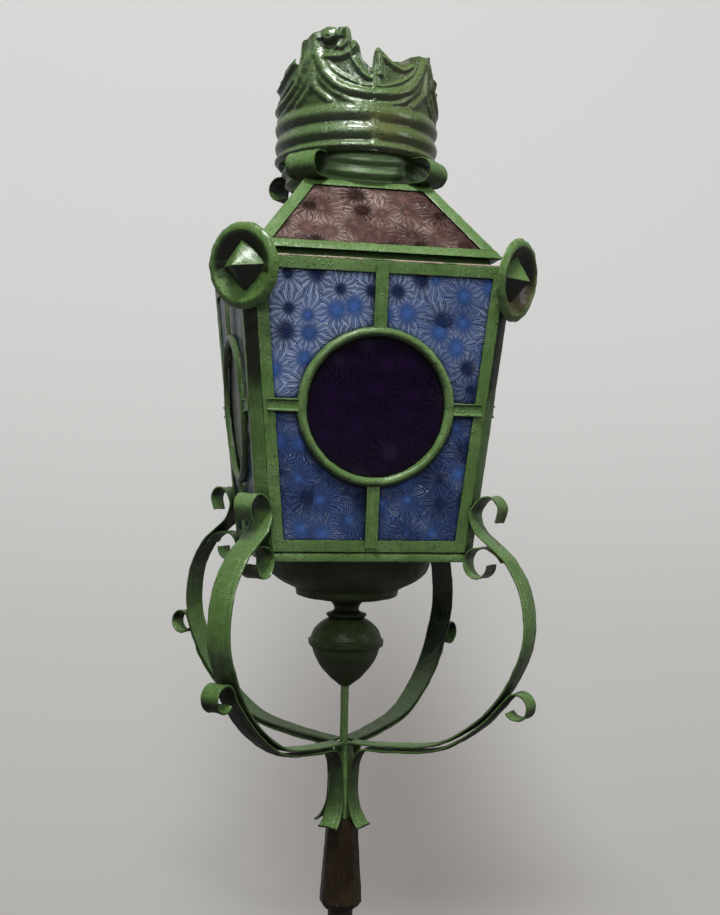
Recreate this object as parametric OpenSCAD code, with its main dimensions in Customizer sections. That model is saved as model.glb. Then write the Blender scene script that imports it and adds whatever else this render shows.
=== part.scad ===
// Processional lantern: a tapered glazed body with a hinged roof and an embossed crown,
// carried on four scrolled strap arms above an octagonal pole ferrule.
// Z points up, the front faces -Y, and the origin is on the ferrule's lower shoulder.

/* [Pole end] */
// Radius of the round spigot that enters the pole
spigot_r = 11; // [8:0.5:12]
// Length of the spigot below the shoulder
spigot_l = 60; // [40:1:80]
// Half width of the ferrule above its lower chamfer
ferrule_r = 18; // [16:0.5:22]
// Half width of the ferrule at its upper end
ferrule_top_r = 13; // [12:0.25:14]
// Height of the ferrule
ferrule_h = 80; // [70:1:95]
// Height of the chamfer at the ferrule's lower end
ferrule_chamfer = 6; // [3:0.5:10]

/* [Hub and arms] */
// Height of the hub core above the ferrule
core_h = 65; // [58:1:75]
// Width of the hub core across its flats
core_w = 19.4; // [18:0.2:21]
// Depth of the hub core's round tenon in the ferrule
tenon_l = 20; // [12:1:30]
// Radius of the hub core's round tenon
tenon_r = 6; // [4:0.5:8]
// Farthest distance of an arm from the lantern's axis
arm_reach = 178; // [165:1:195]
// Width of an arm strap at its widest
arm_w = 23; // [18:0.5:26]
// Width of the straps where they meet the hub
hub_strap_w = 14; // [11:0.5:16]
// Thickness of the arm and leaf straps
arm_t = 2; // [1.5:0.1:2.5]
// Height of the arm's seat on the corner post above the body's base
curl_rise = 38; // [30:1:46]
// Width of a leaf strap at its widest
leaf_w = 19; // [15:0.5:22]
// Distance of a leaf strap below its arm strap
leaf_drop = 4.5; // [3.5:0.1:6]
// Rise of each leaf's curl above the one before it
leaf_stagger = 11; // [0:0.5:13]
// Radius of a leaf's curl
leaf_curl_r = 10.5; // [8:0.5:12]
// Width of a corner scroll
scroll_w = 18; // [12:0.5:22]
// Thickness of the corner and crown scrolls
scroll_t = 1.5; // [1:0.1:2]

/* [Stem] */
// Radius of the tie rod
rod_r = 3.6; // [2.5:0.1:4.5]
// Bare length of the tie rod between the hub and the knob
rod_show = 50; // [40:1:60]
// Depth of the tie rod in the hub core
rod_in = 20; // [12:1:30]
// Radius of the knob at its widest
knob_r = 33.5; // [28:0.5:38]
// Height of the knob's lower half
knob_lower_h = 39; // [32:1:46]
// Height of the knob's upper half
knob_upper_h = 21; // [17:1:26]
// Radius of the neck at its narrowest
neck_r = 11.2; // [9:0.2:14]
// Radius of the neck's flared foot
neck_foot_r = 18; // [16:0.5:22]
// Height of the neck
neck_h = 18; // [14:1:22]
// Radius of the bowl at its rim
bowl_r = 76; // [66:1:82]
// Radius of the stepped ring under the bowl
bowl_ring_r = 46; // [38:1:52]
// Height of the bowl with its ring
bowl_h = 39; // [33:1:45]
// Wall of the spun bowl
bowl_wall = 1.4; // [1:0.1:2]

/* [Body] */
// Width across the flat sides at the body's lower edge
body_base_w = 180; // [170:1:190]
// Width across the flat sides at the body's upper edge
body_top_w = 230; // [224:1:242]
// Height of the body
body_h = 245; // [235:1:270]
// Cut of each bevelled corner along a side
corner_cut = 10; // [8:0.5:12]
// Thickness of the frame sheet
sheet = 1.5; // [1:0.1:2]
// Width of a side frame's upright strips
stile_w = 9.5; // [8:0.5:12]
// Width of a side frame's level strips
rail_w = 9.5; // [8:0.5:12]
// Height of the base tray's rim
tray_rim_h = 7.5; // [5:0.5:10]
// Gap between the base tray's rim and the side frames
tray_gap = 0.8; // [0.3:0.1:0.9]

/* [Glass] */
// Thickness of the glass
glass_t = 3; // [2:0.1:4]
// Lap of the glass behind its frame
glass_lap = 4; // [2.5:0.5:5]
// Gap between neighbouring pieces of glass
pane_gap = 1; // [0.6:0.1:2]
// Outer radius of the round came
ring_r = 65.5; // [58:0.5:70]
// Width of the round came
ring_w = 8; // [6:0.5:10]
// Height of the round came's centre along the side, above the body's base
ring_level = 127.5; // [120:0.5:135]
// Width of a cross bar
bar_w = 10.5; // [8:0.5:13]
// Thickness of a cross bar
bar_t = 2.4; // [1.8:0.1:3.2]
// Lap of a cross bar over the frame
bar_lap = 6; // [3:0.5:8]

/* [Rosettes] */
// Radius of a corner rosette
rosette_r = 33.2; // [29:0.2:36]
// Depth of a rosette's dish
rosette_depth = 6; // [4:0.5:9]
// Drop of a rosette's centre below the body's upper edge
rosette_drop = 9; // [4:0.5:14]
// Radius of a rosette's rolled rim
rosette_bead = 2.8; // [2:0.1:3.4]
// Height of the boss behind a rosette
rosette_boss = 1; // [0.6:0.1:2]
// Half diagonal of the pyramid stud
stud_half = 20; // [15:0.5:24]
// Height of the pyramid stud
stud_h = 17; // [12:0.5:22]

/* [Roof] */
// Height of the open band between the body and the eave
eave_rise = 9; // [7.5:0.5:14]
// Distance of the eave inside the body's upper edge
eave_inset = 9.5; // [8:0.25:13]
// Width of the roof at its top
roof_top_w = 110; // [104:1:118]
// Height of the roof from the eave to its top
roof_h = 69; // [58:1:80]
// Height of the eave strip on the slope
eave_rail = 7.5; // [6:0.5:9]
// Height of the top strip on the slope
top_rail = 6; // [4.5:0.5:8]
// Width of a hip strip, measured level
hip_w = 12; // [9:0.5:14]
// Distance of the upstand that the lid rests on inside the eave
curb_inset = 8; // [6:0.25:12]
// Width of the roof's top deck around its square vent
deck_w = 11; // [9:0.5:15]

/* [Hinge] */
// Length of the lid hinge
hinge_l = 60; // [40:1:90]
// Radius of the hinge knuckles
knuckle_r = 3.2; // [2.8:0.1:3.6]
// Radius of the hinge pin
pin_r = 1.5; // [1.2:0.1:1.8]
// Thickness of the hinge leaves
hinge_t = 1.3; // [1:0.1:1.6]
// Distance of the hinge pin behind the eave's lower edge
hinge_back = 4.5; // [4:0.25:5.5]

/* [Crown] */
// Radius of the crown's sheet
crown_r = 70; // [66:0.5:76]
// Height of the crown's tallest lobe above its lower edge
crown_h = 106; // [92:1:120]
// Height of the crown above the roof's top
crown_lift = 23; // [19:0.5:28]
// Height of the crown's three rolled bands together
band_zone_h = 42; // [36:1:48]
// Height of the relief on the crown
relief = 3.2; // [2:0.1:4.5]
// Wall of the crown's sheet
crown_wall = 1.6; // [1.2:0.1:2]
// Radius of the collar under the crown
collar_r = 54; // [50:0.5:55]
// Height of the collar
collar_h = 32; // [26:1:38]
// Distance that a crown scroll stands out from the crown's sheet
crown_scroll_out = 17; // [12:0.5:22]
// Width of a crown scroll
crown_scroll_w = 30; // [22:1:34]

/* [Candle] */
// Radius of the candle
candle_r = 11; // [8:0.5:14]
// Height of the candle
candle_h = 130; // [80:1:150]
// Depth of the candle cup
cup_depth = 22; // [15:1:30]
// Radius of the drip pan
pan_r = 34; // [28:1:45]

/* [Fits] */
// Gap between soldered or seated pieces
seat_gap = 0.2; // [0.1:0.05:0.3]
// Gap between pieces that move past each other
move_gap = 0.3; // [0.25:0.05:0.5]
// Radial clearance of the hinge pin in its knuckles
pin_clearance = 0.06; // [0.02:0.01:0.1]

/* [Hidden] */
$fn = 64;
paint = [0.36, 0.52, 0.27];
dark_paint = [0.22, 0.33, 0.17];
dark_wood = [0.16, 0.14, 0.11];
blue_glass = [0.22, 0.3, 0.52, 0.8];
purple_glass = [0.14, 0.09, 0.2, 0.9];
brown_glass = [0.5, 0.4, 0.38, 0.8];
wax = [0.93, 0.88, 0.75];

sides = ["front", "right", "rear", "left"];
corners = ["front_right", "rear_right", "rear_left", "front_left"];
rosette_corners = [0, 3];

// Levels, from the shoulder up
hub_z = ferrule_h + core_h;
knob_z = hub_z + rod_show;
knob_mid_z = knob_z + knob_lower_h;
neck_z = knob_mid_z + knob_upper_h;
bowl_z = neck_z + neck_h;
base_z = bowl_z + bowl_h;
tray_top_z = base_z + tray_rim_h;
frame_z = tray_top_z + tray_gap;
body_top_z = base_z + body_h;
ledge_z = body_top_z + sheet;
eave_z = body_top_z + eave_rise;
roof_top_z = eave_z + roof_h;
crown_z = roof_top_z + crown_lift;

// Widths that follow the body's upper edge, and the reach of the crown scrolls
eave_w = body_top_w - 2 * eave_inset;
curb_w = eave_w - 2 * curb_inset;
vent_w = roof_top_w - 2 * deck_w;
crown_scroll_r = crown_r + crown_scroll_out;

// Slopes of the body's sides, its corner posts and the roof
body_lean = atan((body_top_w - body_base_w) / 2 / body_h);
post_lean = atan(tan(body_lean) * sqrt(2));
roof_pitch = atan(roof_h / ((eave_w - roof_top_w) / 2));

function mix(a, b, f) = a + (b - a) * f;

// Half width across the body's flat sides at a height
function side_half(z) = mix(body_base_w / 2, body_top_w / 2, (z - base_z) / body_h);
// Distance of a corner post's outer face from the axis at a height
function post_reach(z) = (2 * side_half(z) - corner_cut) / sqrt(2);
// Half width of a flat side at a distance up its slope
function face_half(v) = body_base_w / 2 + v * sin(body_lean) - corner_cut;
// Half width across the roof at a height
function roof_half(z) = mix(eave_w / 2, roof_top_w / 2, (z - eave_z) / roof_h);

// Smooth curve through points, with a number of steps in each span
function curve_point(a, b, c, d, f) = b + (c - a) * f / 2
    + (2 * a - 5 * b + 4 * c - d) * f * f / 2 + (3 * b - a - 3 * c + d) * f * f * f / 2;
function smooth(points, steps) = let (last = len(points) - 1) concat(
    [for (i = [0:last - 1]) for (k = [0:steps - 1]) let (before = points[max(i - 1, 0)],
            after = points[min(i + 2, last)])
        curve_point(before, points[i], points[i + 1], after, k / steps)],
    [points[last]]);

// Solid through a row of rings that have equally many points, closed at its ends or round on itself
module skin(rings, closed = false) {
    n = len(rings[0]);
    count = len(rings);
    spans = closed ? count : count - 1;
    sides_of_skin = [for (i = [0:spans - 1]) for (j = [0:n - 1]) let (
            a = i * n + j,
            b = i * n + (j + 1) % n,
            c = ((i + 1) % count) * n + (j + 1) % n,
            d = ((i + 1) % count) * n + j)
        each [[a, b, c], [a, c, d]]];
    ends = closed ? [] : [
        [for (j = [n - 1:-1:0]) j],
        [for (j = [0:n - 1]) (count - 1) * n + j]];
    points = [for (ring = rings) each ring];
    polyhedron(points = points, faces = concat(sides_of_skin, ends), convexity = 10);
}

// Flat strap bent along a path of [distance from the axis, height], with a width at each station
module strap(path, widths, thickness) {
    last = len(path) - 1;
    skin([for (i = [0:last]) let (
            along = path[min(i + 1, last)] - path[max(i - 1, 0)],
            off = [-along[1], along[0]] / norm(along) * thickness / 2,
            half = widths[i] / 2,
            outer = path[i] + off,
            inner = path[i] - off)
        [[outer[0], -half, outer[1]], [outer[0], half, outer[1]],
         [inner[0], half, inner[1]], [inner[0], -half, inner[1]]]]);
}

// Square frame of a profile of [half width, height], with plain or bevelled corners
function corner_points(profile, quarter, cut) = let (turn = 90 * quarter, s = sin(turn), c = cos(turn))
    [for (side = cut > 0 ? [0, 1] : [0])
        [for (p = profile) let (x = p[0] - (side == 1 ? cut : 0), y = p[0] - (side == 0 ? cut : 0))
            [x * c - y * s, x * s + y * c, p[1]]]];
module square_frame(profile, cut = 0) {
    skin([for (quarter = [0:3]) each corner_points(profile, quarter, cut)], closed = true);
}

// Outline of a square with bevelled corners
module bevelled_square(half, cut) {
    polygon([for (quarter = [0:3]) for (p = corner_points([[half, 0]], quarter, cut)) [p[0][0], p[0][1]]]);
}

// Solid of revolution with a smooth outer profile of [radius, height] around a bore
module turned(profile, bore) {
    outer = smooth(profile, 4);
    rotate_extrude() polygon(concat(
        [[bore, outer[0][1]]], outer, [[bore, outer[len(outer) - 1][1]]]));
}

module at_side(side) {
    rotate([0, 0, 90 * side]) translate([0, -body_base_w / 2, base_z]) rotate([90 + body_lean, 0, 0])
        children();
}
module at_corner(corner) {
    rotate([0, 0, 90 * corner - 45]) children();
}

// Pole end and hub
module pole_ferrule() {
    color(dark_wood) difference() {
        union() {
            rotate([0, 0, 22.5]) translate([0, 0, ferrule_chamfer])
                cylinder(h = ferrule_h - ferrule_chamfer, r1 = ferrule_r / cos(22.5),
                    r2 = ferrule_top_r / cos(22.5), $fn = 8);
            rotate([0, 0, 22.5]) cylinder(h = ferrule_chamfer, r1 = (spigot_r + 2) / cos(22.5),
                r2 = ferrule_r / cos(22.5), $fn = 8);
            translate([0, 0, -spigot_l]) cylinder(h = spigot_l + ferrule_chamfer, r = spigot_r);
        }
        translate([0, 0, ferrule_h - tenon_l - seat_gap]) cylinder(h = tenon_l + 1, r = tenon_r + seat_gap);
    }
}

core_top_w = core_w * 0.55;
core_taper_h = core_h * 0.45;
module hub_core() {
    color(dark_paint) difference() {
        union() {
            rotate([0, 0, 45]) translate([-core_w / 2, -core_w / 2, ferrule_h + seat_gap])
                cube([core_w, core_w, core_h - core_taper_h - seat_gap]);
            translate([0, 0, hub_z - core_taper_h]) cylinder(h = core_taper_h, r1 = core_w / sqrt(2),
                r2 = core_top_w / sqrt(2), $fn = 4);
            translate([0, 0, ferrule_h - tenon_l]) cylinder(h = tenon_l + 1, r = tenon_r);
        }
        translate([0, 0, hub_z - rod_in - seat_gap]) cylinder(h = rod_in + 1, r = rod_r + seat_gap);
    }
}

// Arms: an upper strap from the curl on the post to the hub
arm_seat = [post_reach(base_z + curl_rise) + arm_t / 2 + seat_gap + 0.5, base_z + curl_rise];
arm_end_z = hub_z + seat_gap + arm_t / 2;
function on_arm(f, back) = [arm_reach - back, mix(arm_end_z, arm_seat[1], f)];
arm_bow = [on_arm(0.82, 17), on_arm(0.72, 5), on_arm(0.6, 0), on_arm(0.5, 1), on_arm(0.41, 7.5),
    on_arm(0.29, 21)];
arm_run = [[arm_reach * 0.75, mix(arm_end_z, arm_seat[1], 0.168)],
    [arm_reach * 0.54, mix(arm_end_z, arm_seat[1], 0.056)],
    [arm_reach * 0.28, mix(arm_end_z, arm_seat[1], 0.015)]];
arm_end_r = hub_strap_w / 2 + 1;
arm_path = smooth(concat(
    [arm_seat + [22, -4], arm_seat + [25, 8], arm_seat + [19, 16.5], arm_seat + [9.5, 16],
     arm_seat + [2, 8], arm_seat, arm_seat + [5, -12], arm_seat + [15, -20.5], arm_seat + [25.5, -28.5]],
    arm_bow, arm_run, [[arm_end_r, arm_end_z]]), 3);
module arm(corner) {
    last = len(arm_path) - 1;
    widths = [for (i = [0:last]) let (f = i / last)
        f < 0.12 ? mix(arm_w * 0.62, arm_w * 0.85, f / 0.12)
        : f < 0.5 ? mix(arm_w * 0.85, arm_w, (f - 0.12) / 0.38)
        : mix(arm_w, hub_strap_w, (f - 0.5) / 0.5)];
    color(paint) at_corner(corner) strap(arm_path, widths, arm_t);
}

// Leaves: a lower strap from its curl under the arm to the hub, then down over the ferrule's top
leaf_core_r = core_w / 2 + seat_gap + arm_t / 2;
leaf_order = [0, 2, 3, 1];
function bow_back(f) = lookup(f, [[0.29, 21], [0.41, 7.5], [0.5, 1], [0.6, 0]]);
function bow_turn(f) = lookup(f, [[0.29, -29], [0.41, -17], [0.5, -6], [0.6, 3]]);
function bow_off(f) = [cos(bow_turn(f)), sin(bow_turn(f))];
function under_bow(f) = on_arm(f, bow_back(f)) + leaf_drop * bow_off(f);
function leaf_share(step) = 0.29 + step * leaf_stagger / (arm_seat[1] - arm_end_z);
function leaf_curl(f) = let (off = bow_off(f), up = [-off[1], off[0]])
    [for (a = [250:-32:26]) under_bow(f) + leaf_curl_r * ((1 - cos(a)) * off + sin(a) * up)];
leaf_hub = [[leaf_core_r + 14, hub_z - 2.6], [leaf_core_r + 6.5, hub_z - 7.5],
    [leaf_core_r + 1.6, hub_z - 18], [leaf_core_r, hub_z - core_h * 0.5], [leaf_core_r, ferrule_h + 22],
    [leaf_core_r + 1.2, ferrule_h + 12], [ferrule_top_r + arm_t / 2 + 1.6, ferrule_h + 3],
    [ferrule_top_r + 7, ferrule_h - 3.5], [ferrule_top_r + 10.5, ferrule_h - 5.5]];
function leaf_path(corner) = let (steps = leaf_order[corner]) smooth(concat(
    leaf_curl(leaf_share(steps)), [for (k = [steps:-1:0]) under_bow(leaf_share(k))],
    [for (p = arm_run) p + [1.5, -leaf_drop]], leaf_hub), 3);
module leaf(corner) {
    path = leaf_path(corner);
    last = len(path) - 1;
    widths = [for (i = [0:last]) let (f = i / last)
        f < 0.3 ? mix(leaf_w * 0.8, leaf_w, f / 0.3)
        : f < 0.62 ? mix(leaf_w, hub_strap_w, (f - 0.3) / 0.32)
        : f < 0.85 ? hub_strap_w
        : mix(hub_strap_w, leaf_w, (f - 0.85) / 0.15)];
    color(paint) at_corner(corner) strap(path, widths, arm_t);
}

// Corner scrolls: small straps from the arm round the base tray's corner to a curled tip
scroll_seat = [post_reach(base_z) + scroll_t / 2 + seat_gap + 0.4, base_z + 3];
scroll_root = arm_seat + [23.2, -29.8];
scroll_path = smooth([arm_seat + [28.5, -36], scroll_root,
    mix(scroll_root, scroll_seat + [10.5, 9.5], 0.5) + [0, 2.4], scroll_seat + [10.5, 9.5],
    scroll_seat + [3.6, 6.6], scroll_seat, scroll_seat + [0.3, -7], scroll_seat + [3.6, -13],
    scroll_seat + [9.5, -15.6], scroll_seat + [15.5, -14.4], scroll_seat + [19.8, -10],
    scroll_seat + [21.2, -4]], 3);
module corner_scrolls() {
    widths = [for (p = scroll_path) scroll_w];
    color(paint) for (corner = [0:3]) at_corner(corner) strap(scroll_path, widths, scroll_t);
}

// Stem, from the hub to the base
cup_socket_l = 10;
module tie_rod() {
    color(dark_paint) translate([0, 0, hub_z - rod_in])
        cylinder(h = base_z + sheet + cup_socket_l - hub_z + rod_in, r = rod_r);
}
bore_r = rod_r + seat_gap;
module knob_lower() {
    color(dark_paint) translate([0, 0, knob_z]) turned([[bore_r + 1, 0],
        [knob_r * 0.41, knob_lower_h * 0.26], [knob_r * 0.62, knob_lower_h * 0.45],
        [knob_r * 0.8, knob_lower_h * 0.67], [knob_r * 0.88, knob_lower_h * 0.86],
        [knob_r * 0.97, knob_lower_h * 0.92], [knob_r, knob_lower_h - seat_gap]], bore_r);
}
module knob_upper() {
    color(dark_paint) translate([0, 0, knob_mid_z]) turned([[knob_r, 0], [knob_r, 2], [knob_r * 0.95, 3.2],
        [knob_r * 0.86, knob_upper_h * 0.5], [knob_r * 0.65, knob_upper_h * 0.84],
        [knob_r * 0.47, knob_upper_h - seat_gap]], bore_r);
}
module neck_collar() {
    color(dark_paint) translate([0, 0, neck_z]) turned([[neck_foot_r * 0.86, 0],
        [neck_foot_r, neck_h * 0.19], [neck_r * 1.1, neck_h * 0.34], [neck_r, neck_h * 0.55],
        [neck_r * 1.35, neck_h * 0.82], [neck_r * 2.1, neck_h * 0.95],
        [neck_r * 2.1, neck_h - seat_gap]], bore_r);
}
module bowl() {
    outer = smooth([[bowl_ring_r * 0.8, 0], [bowl_ring_r * 0.97, 2.6], [bowl_ring_r, 8.2],
        [mix(bowl_ring_r, bowl_r, 0.14), 10.6], [mix(bowl_ring_r, bowl_r, 0.45), 15],
        [mix(bowl_ring_r, bowl_r, 0.8), bowl_h * 0.6], [bowl_r, bowl_h]], 4);
    inner = [for (i = [len(outer) - 1:-1:0]) [outer[i][0] - bowl_wall, max(outer[i][1], bowl_wall)]];
    color(dark_paint) translate([0, 0, bowl_z]) rotate_extrude()
        polygon(concat([[bore_r, 0]], outer, inner, [[bore_r, bowl_wall]]));
}

// Body
module base_tray() {
    half = body_base_w / 2;
    floor_z = base_z + seat_gap;
    color(paint) difference() {
        translate([0, 0, floor_z]) linear_extrude(tray_top_z - floor_z)
            bevelled_square(half, corner_cut);
        translate([0, 0, floor_z + sheet]) linear_extrude(tray_rim_h)
            bevelled_square(half - sheet, corner_cut);
        translate([0, 0, floor_z - 1]) cylinder(h = sheet + 2, r = bore_r);
    }
}

post_depth = sheet * sqrt(2) + seat_gap;
function post_ring(z) = let (d = side_half(z), w = d - corner_cut + seat_gap)
    [[w, d - seat_gap, z], [w, d - post_depth, z], [d - post_depth, w, z], [d - seat_gap, w, z]];
module corner_posts() {
    color(paint) for (corner = [0:3]) rotate([0, 0, 90 * corner - 90])
        skin([post_ring(frame_z), post_ring(body_top_z - seat_gap)]);
}

frame_v = [(frame_z - base_z) / cos(body_lean), (body_h - seat_gap) / cos(body_lean)];
opening_v = [frame_v[0] + rail_w, frame_v[1] - rail_w];
module side_shape(v, inset) {
    polygon([[inset - face_half(v[0]), v[0]], [face_half(v[0]) - inset, v[0]],
        [face_half(v[1]) - inset, v[1]], [inset - face_half(v[1]), v[1]]]);
}
module side_frame(side) {
    color(paint) at_side(side) translate([0, 0, -sheet]) linear_extrude(sheet) difference() {
        side_shape(frame_v, 0);
        side_shape(opening_v, stile_w);
    }
}

ring_mid = ring_r - ring_w / 2;
glass_depth = sheet + seat_gap + glass_t;
module blue_glass(side) {
    lap_v = [opening_v[0] - glass_lap, opening_v[1] + glass_lap];
    color(blue_glass) at_side(side) translate([0, 0, -glass_depth]) linear_extrude(glass_t)
        difference() {
        side_shape(lap_v, stile_w - glass_lap);
        translate([0, ring_level]) circle(ring_mid + pane_gap / 2);
        translate([-body_top_w / 2, ring_level - pane_gap / 2]) square([body_top_w, pane_gap]);
        translate([-pane_gap / 2, 0]) square([pane_gap, body_h * 2]);
    }
}
module purple_disc(side) {
    color(purple_glass) at_side(side) translate([0, ring_level, -glass_depth])
        cylinder(h = glass_t, r = ring_mid - pane_gap / 2);
}
module round_came(side) {
    color(paint) at_side(side) translate([0, ring_level, 0]) rotate_extrude() translate([ring_mid, 0])
        intersection() {
            circle(ring_w / 2);
            translate([-ring_w, -sheet]) square([ring_w * 2, ring_w * 2]);
        }
}
bar_wall = bar_w * 0.12;
module cross_bar(from, to) {
    translate([-bar_w / 2, from, seat_gap]) difference() {
        cube([bar_w, to - from, bar_t]);
        translate([bar_wall, -1, bar_t / 2]) cube([bar_w - 2 * bar_wall, to - from + 2, bar_t]);
    }
}
module cross_bars(side) {
    from = ring_r + seat_gap;
    color(paint) at_side(side) translate([0, ring_level, 0]) {
        cross_bar(from, opening_v[1] + bar_lap - ring_level);
        rotate([0, 0, 180]) cross_bar(from, ring_level - opening_v[0] + bar_lap);
        for (turn = [90, -90]) rotate([0, 0, turn])
            cross_bar(from, face_half(ring_level) - stile_w + bar_lap);
    }
}

// Ledge on top of the body, with the upstand that the lid rests on
module top_ledge() {
    half = body_top_w / 2;
    curb = curb_w / 2;
    rest_z = eave_z - move_gap;
    color(paint) square_frame([[half, body_top_z], [half, ledge_z], [curb, ledge_z], [curb, rest_z],
        [curb - sheet, rest_z], [curb - sheet, body_top_z]], corner_cut);
}

// Rosettes: dished discs on the two front corner posts, with a pyramid stud in each
rosette_z = body_top_z - rosette_drop;
module at_rosette(corner) {
    at_corner(corner) translate([post_reach(rosette_z), 0, rosette_z]) rotate([0, 90 + post_lean, 0])
        translate([0, 0, seat_gap]) children();
}
dish_flat_r = stud_half + rosette_boss;
dish_edge_r = rosette_r - rosette_bead;
module rosette_dish(corner) {
    boss_r = corner_cut * 0.6;
    mid_r = mix(dish_flat_r, dish_edge_r, 0.6);
    front = smooth([[dish_flat_r, sheet], [mid_r, sheet + rosette_depth * 0.35],
        [dish_edge_r, rosette_depth]], 4);
    back = [for (i = [len(front) - 1:-1:0]) front[i] - [0, sheet]];
    color(paint) at_rosette(corner) {
        translate([0, 0, rosette_boss]) rotate_extrude() union() {
            polygon(concat([[0, 0], [0, sheet]], front, back));
            translate([dish_edge_r, rosette_depth - sheet / 2]) circle(rosette_bead);
        }
        cylinder(h = rosette_boss + sheet / 2, r = boss_r);
    }
}
module pyramid_studs() {
    color(paint) for (corner = rosette_corners) at_rosette(corner)
        translate([0, 0, rosette_boss + sheet + seat_gap])
            cylinder(h = stud_h, r1 = stud_half, r2 = 0, $fn = 4);
}

// Roof lid
strip_level = sheet / sin(roof_pitch);
flange_w = eave_w / 2 - curb_w / 2 + 6;
module eave_frame() {
    half = eave_w / 2;
    top_z = eave_z + eave_rail;
    lap_z = eave_z + sheet;
    color(paint) square_frame([[half, eave_z], [roof_half(top_z), top_z],
        [roof_half(top_z) - strip_level, top_z], [roof_half(lap_z) - strip_level, lap_z],
        [half - flange_w, lap_z], [half - flange_w, eave_z]]);
}
hip_v = [eave_z + eave_rail + seat_gap, roof_top_z - top_rail - seat_gap];
function hip_ring(z) = let (h = roof_half(z), w = h - hip_w, t = h - strip_level)
    [[w, h, z], [w, t, z], [t, t, z], [t, w, z], [h, w, z], [h, h, z]];
module roof_hips() {
    color(paint) for (corner = [0:3]) rotate([0, 0, 90 * corner])
        skin([hip_ring(hip_v[0]), hip_ring(hip_v[1])]);
}
module roof_top_frame() {
    low_z = roof_top_z - top_rail;
    deck_z = roof_top_z - sheet;
    vent = vent_w / 2;
    color(paint) square_frame([[roof_half(low_z), low_z], [roof_half(roof_top_z), roof_top_z],
        [vent, roof_top_z], [vent, deck_z], [roof_half(deck_z) - strip_level, deck_z],
        [roof_half(low_z) - strip_level, low_z]]);
}
module roof_pane(side) {
    low_z = eave_z + eave_rail - glass_lap * 0.6;
    high_z = roof_top_z - top_rail + glass_lap * 0.6;
    low = [roof_half(low_z) - hip_w + glass_lap, (low_z - eave_z) / sin(roof_pitch)];
    high = [roof_half(high_z) - hip_w + glass_lap, (high_z - eave_z) / sin(roof_pitch)];
    color(brown_glass) rotate([0, 0, 90 * side]) translate([0, -eave_w / 2, eave_z])
        rotate([roof_pitch, 0, 0]) translate([0, 0, -glass_depth]) linear_extrude(glass_t)
            polygon([[-low[0], low[1]], [low[0], low[1]], [high[0], high[1]], [-high[0], high[1]]]);
}

// Lid hinge at the rear, standing on the ledge
hinge_y = eave_w / 2 + hinge_back;
hinge_z = ledge_z + seat_gap + knuckle_r;
knuckle_l = hinge_l / 3;
module knuckle(from, to) {
    translate([from, hinge_y, hinge_z]) rotate([0, 90, 0]) cylinder(h = to - from, r = knuckle_r);
}
module hinge_bore(clearance) {
    translate([-hinge_l, hinge_y, hinge_z]) rotate([0, 90, 0])
        cylinder(h = 2 * hinge_l, r = pin_r + clearance);
}
module hinge_body_leaf() {
    leaf_y = curb_w / 2 + seat_gap;
    color(dark_paint) difference() {
        union() {
            for (s = [-1, 1]) knuckle(s * hinge_l / 3 - knuckle_l / 2, s * hinge_l / 3 + knuckle_l / 2);
            for (s = [-1, 1]) translate([s * hinge_l / 3 - knuckle_l / 2, leaf_y, ledge_z + seat_gap])
                cube([knuckle_l, hinge_y - leaf_y, hinge_t]);
            translate([-hinge_l / 2, leaf_y, ledge_z + seat_gap])
                cube([hinge_l, hinge_y - knuckle_r - move_gap - leaf_y, hinge_t]);
        }
        hinge_bore(pin_clearance);
    }
}
module hinge_lid_leaf() {
    tongue = knuckle_l / 2 - move_gap;
    leaf_l = eave_rail / sin(roof_pitch);
    color(dark_paint) difference() {
        union() {
            knuckle(-tongue, tongue);
            translate([0, eave_w / 2, eave_z]) rotate([-roof_pitch, 0, 0]) translate([0, 0, seat_gap]) {
                translate([-hinge_l / 2, -leaf_l, 0]) cube([hinge_l, leaf_l, hinge_t]);
                translate([-tongue, -1, 0]) cube([2 * tongue, hinge_back, hinge_t]);
            }
        }
        hinge_bore(pin_clearance);
    }
}
module hinge_pin() {
    head_l = 1.5;
    color("dimgray") translate([-hinge_l / 2 - head_l, hinge_y, hinge_z]) rotate([0, 90, 0]) {
        cylinder(h = hinge_l + 2 * head_l, r = pin_r);
        cylinder(h = head_l - seat_gap, r = knuckle_r * 0.8);
    }
}

// Collar and scrolls between the roof and the crown
module crown_collar() {
    rows = 16;
    outer = [for (i = [0:rows]) let (f = i / rows)
        [collar_r + (i == 0 ? 0 : 2.2 * abs(sin(f * 360)) - 1.5), f * collar_h]];
    inner = [for (i = [rows:-1:0]) outer[i] - [crown_wall + (i == 0 ? 4 : 0), 0]];
    color(paint) translate([0, 0, roof_top_z + seat_gap]) rotate_extrude() polygon(concat(outer, inner));
}
crown_scroll_half = (crown_lift - 2 * seat_gap - scroll_t) / 2;
crown_scroll_mid = [crown_scroll_r - crown_scroll_half - scroll_t / 2, roof_top_z + crown_lift / 2];
crown_scroll_path = concat([crown_scroll_mid + [-12, -crown_scroll_half]],
    [for (a = [-90:15:90]) crown_scroll_mid + crown_scroll_half * [cos(a), sin(a)]],
    [crown_scroll_mid + [-9, crown_scroll_half]]);
module crown_scrolls() {
    widths = [for (p = crown_scroll_path) crown_scroll_w];
    color(paint) for (corner = [0:3]) at_corner(corner) strap(crown_scroll_path, widths, scroll_t);
}

// Crown: an embossed ring with three rolled bands, fluted pillars over the corners and swags between them
crown_steps = 80;
crown_upper_h = crown_h - band_zone_h;
band_edges = [0, 0.22, 0.6, 1];
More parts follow.
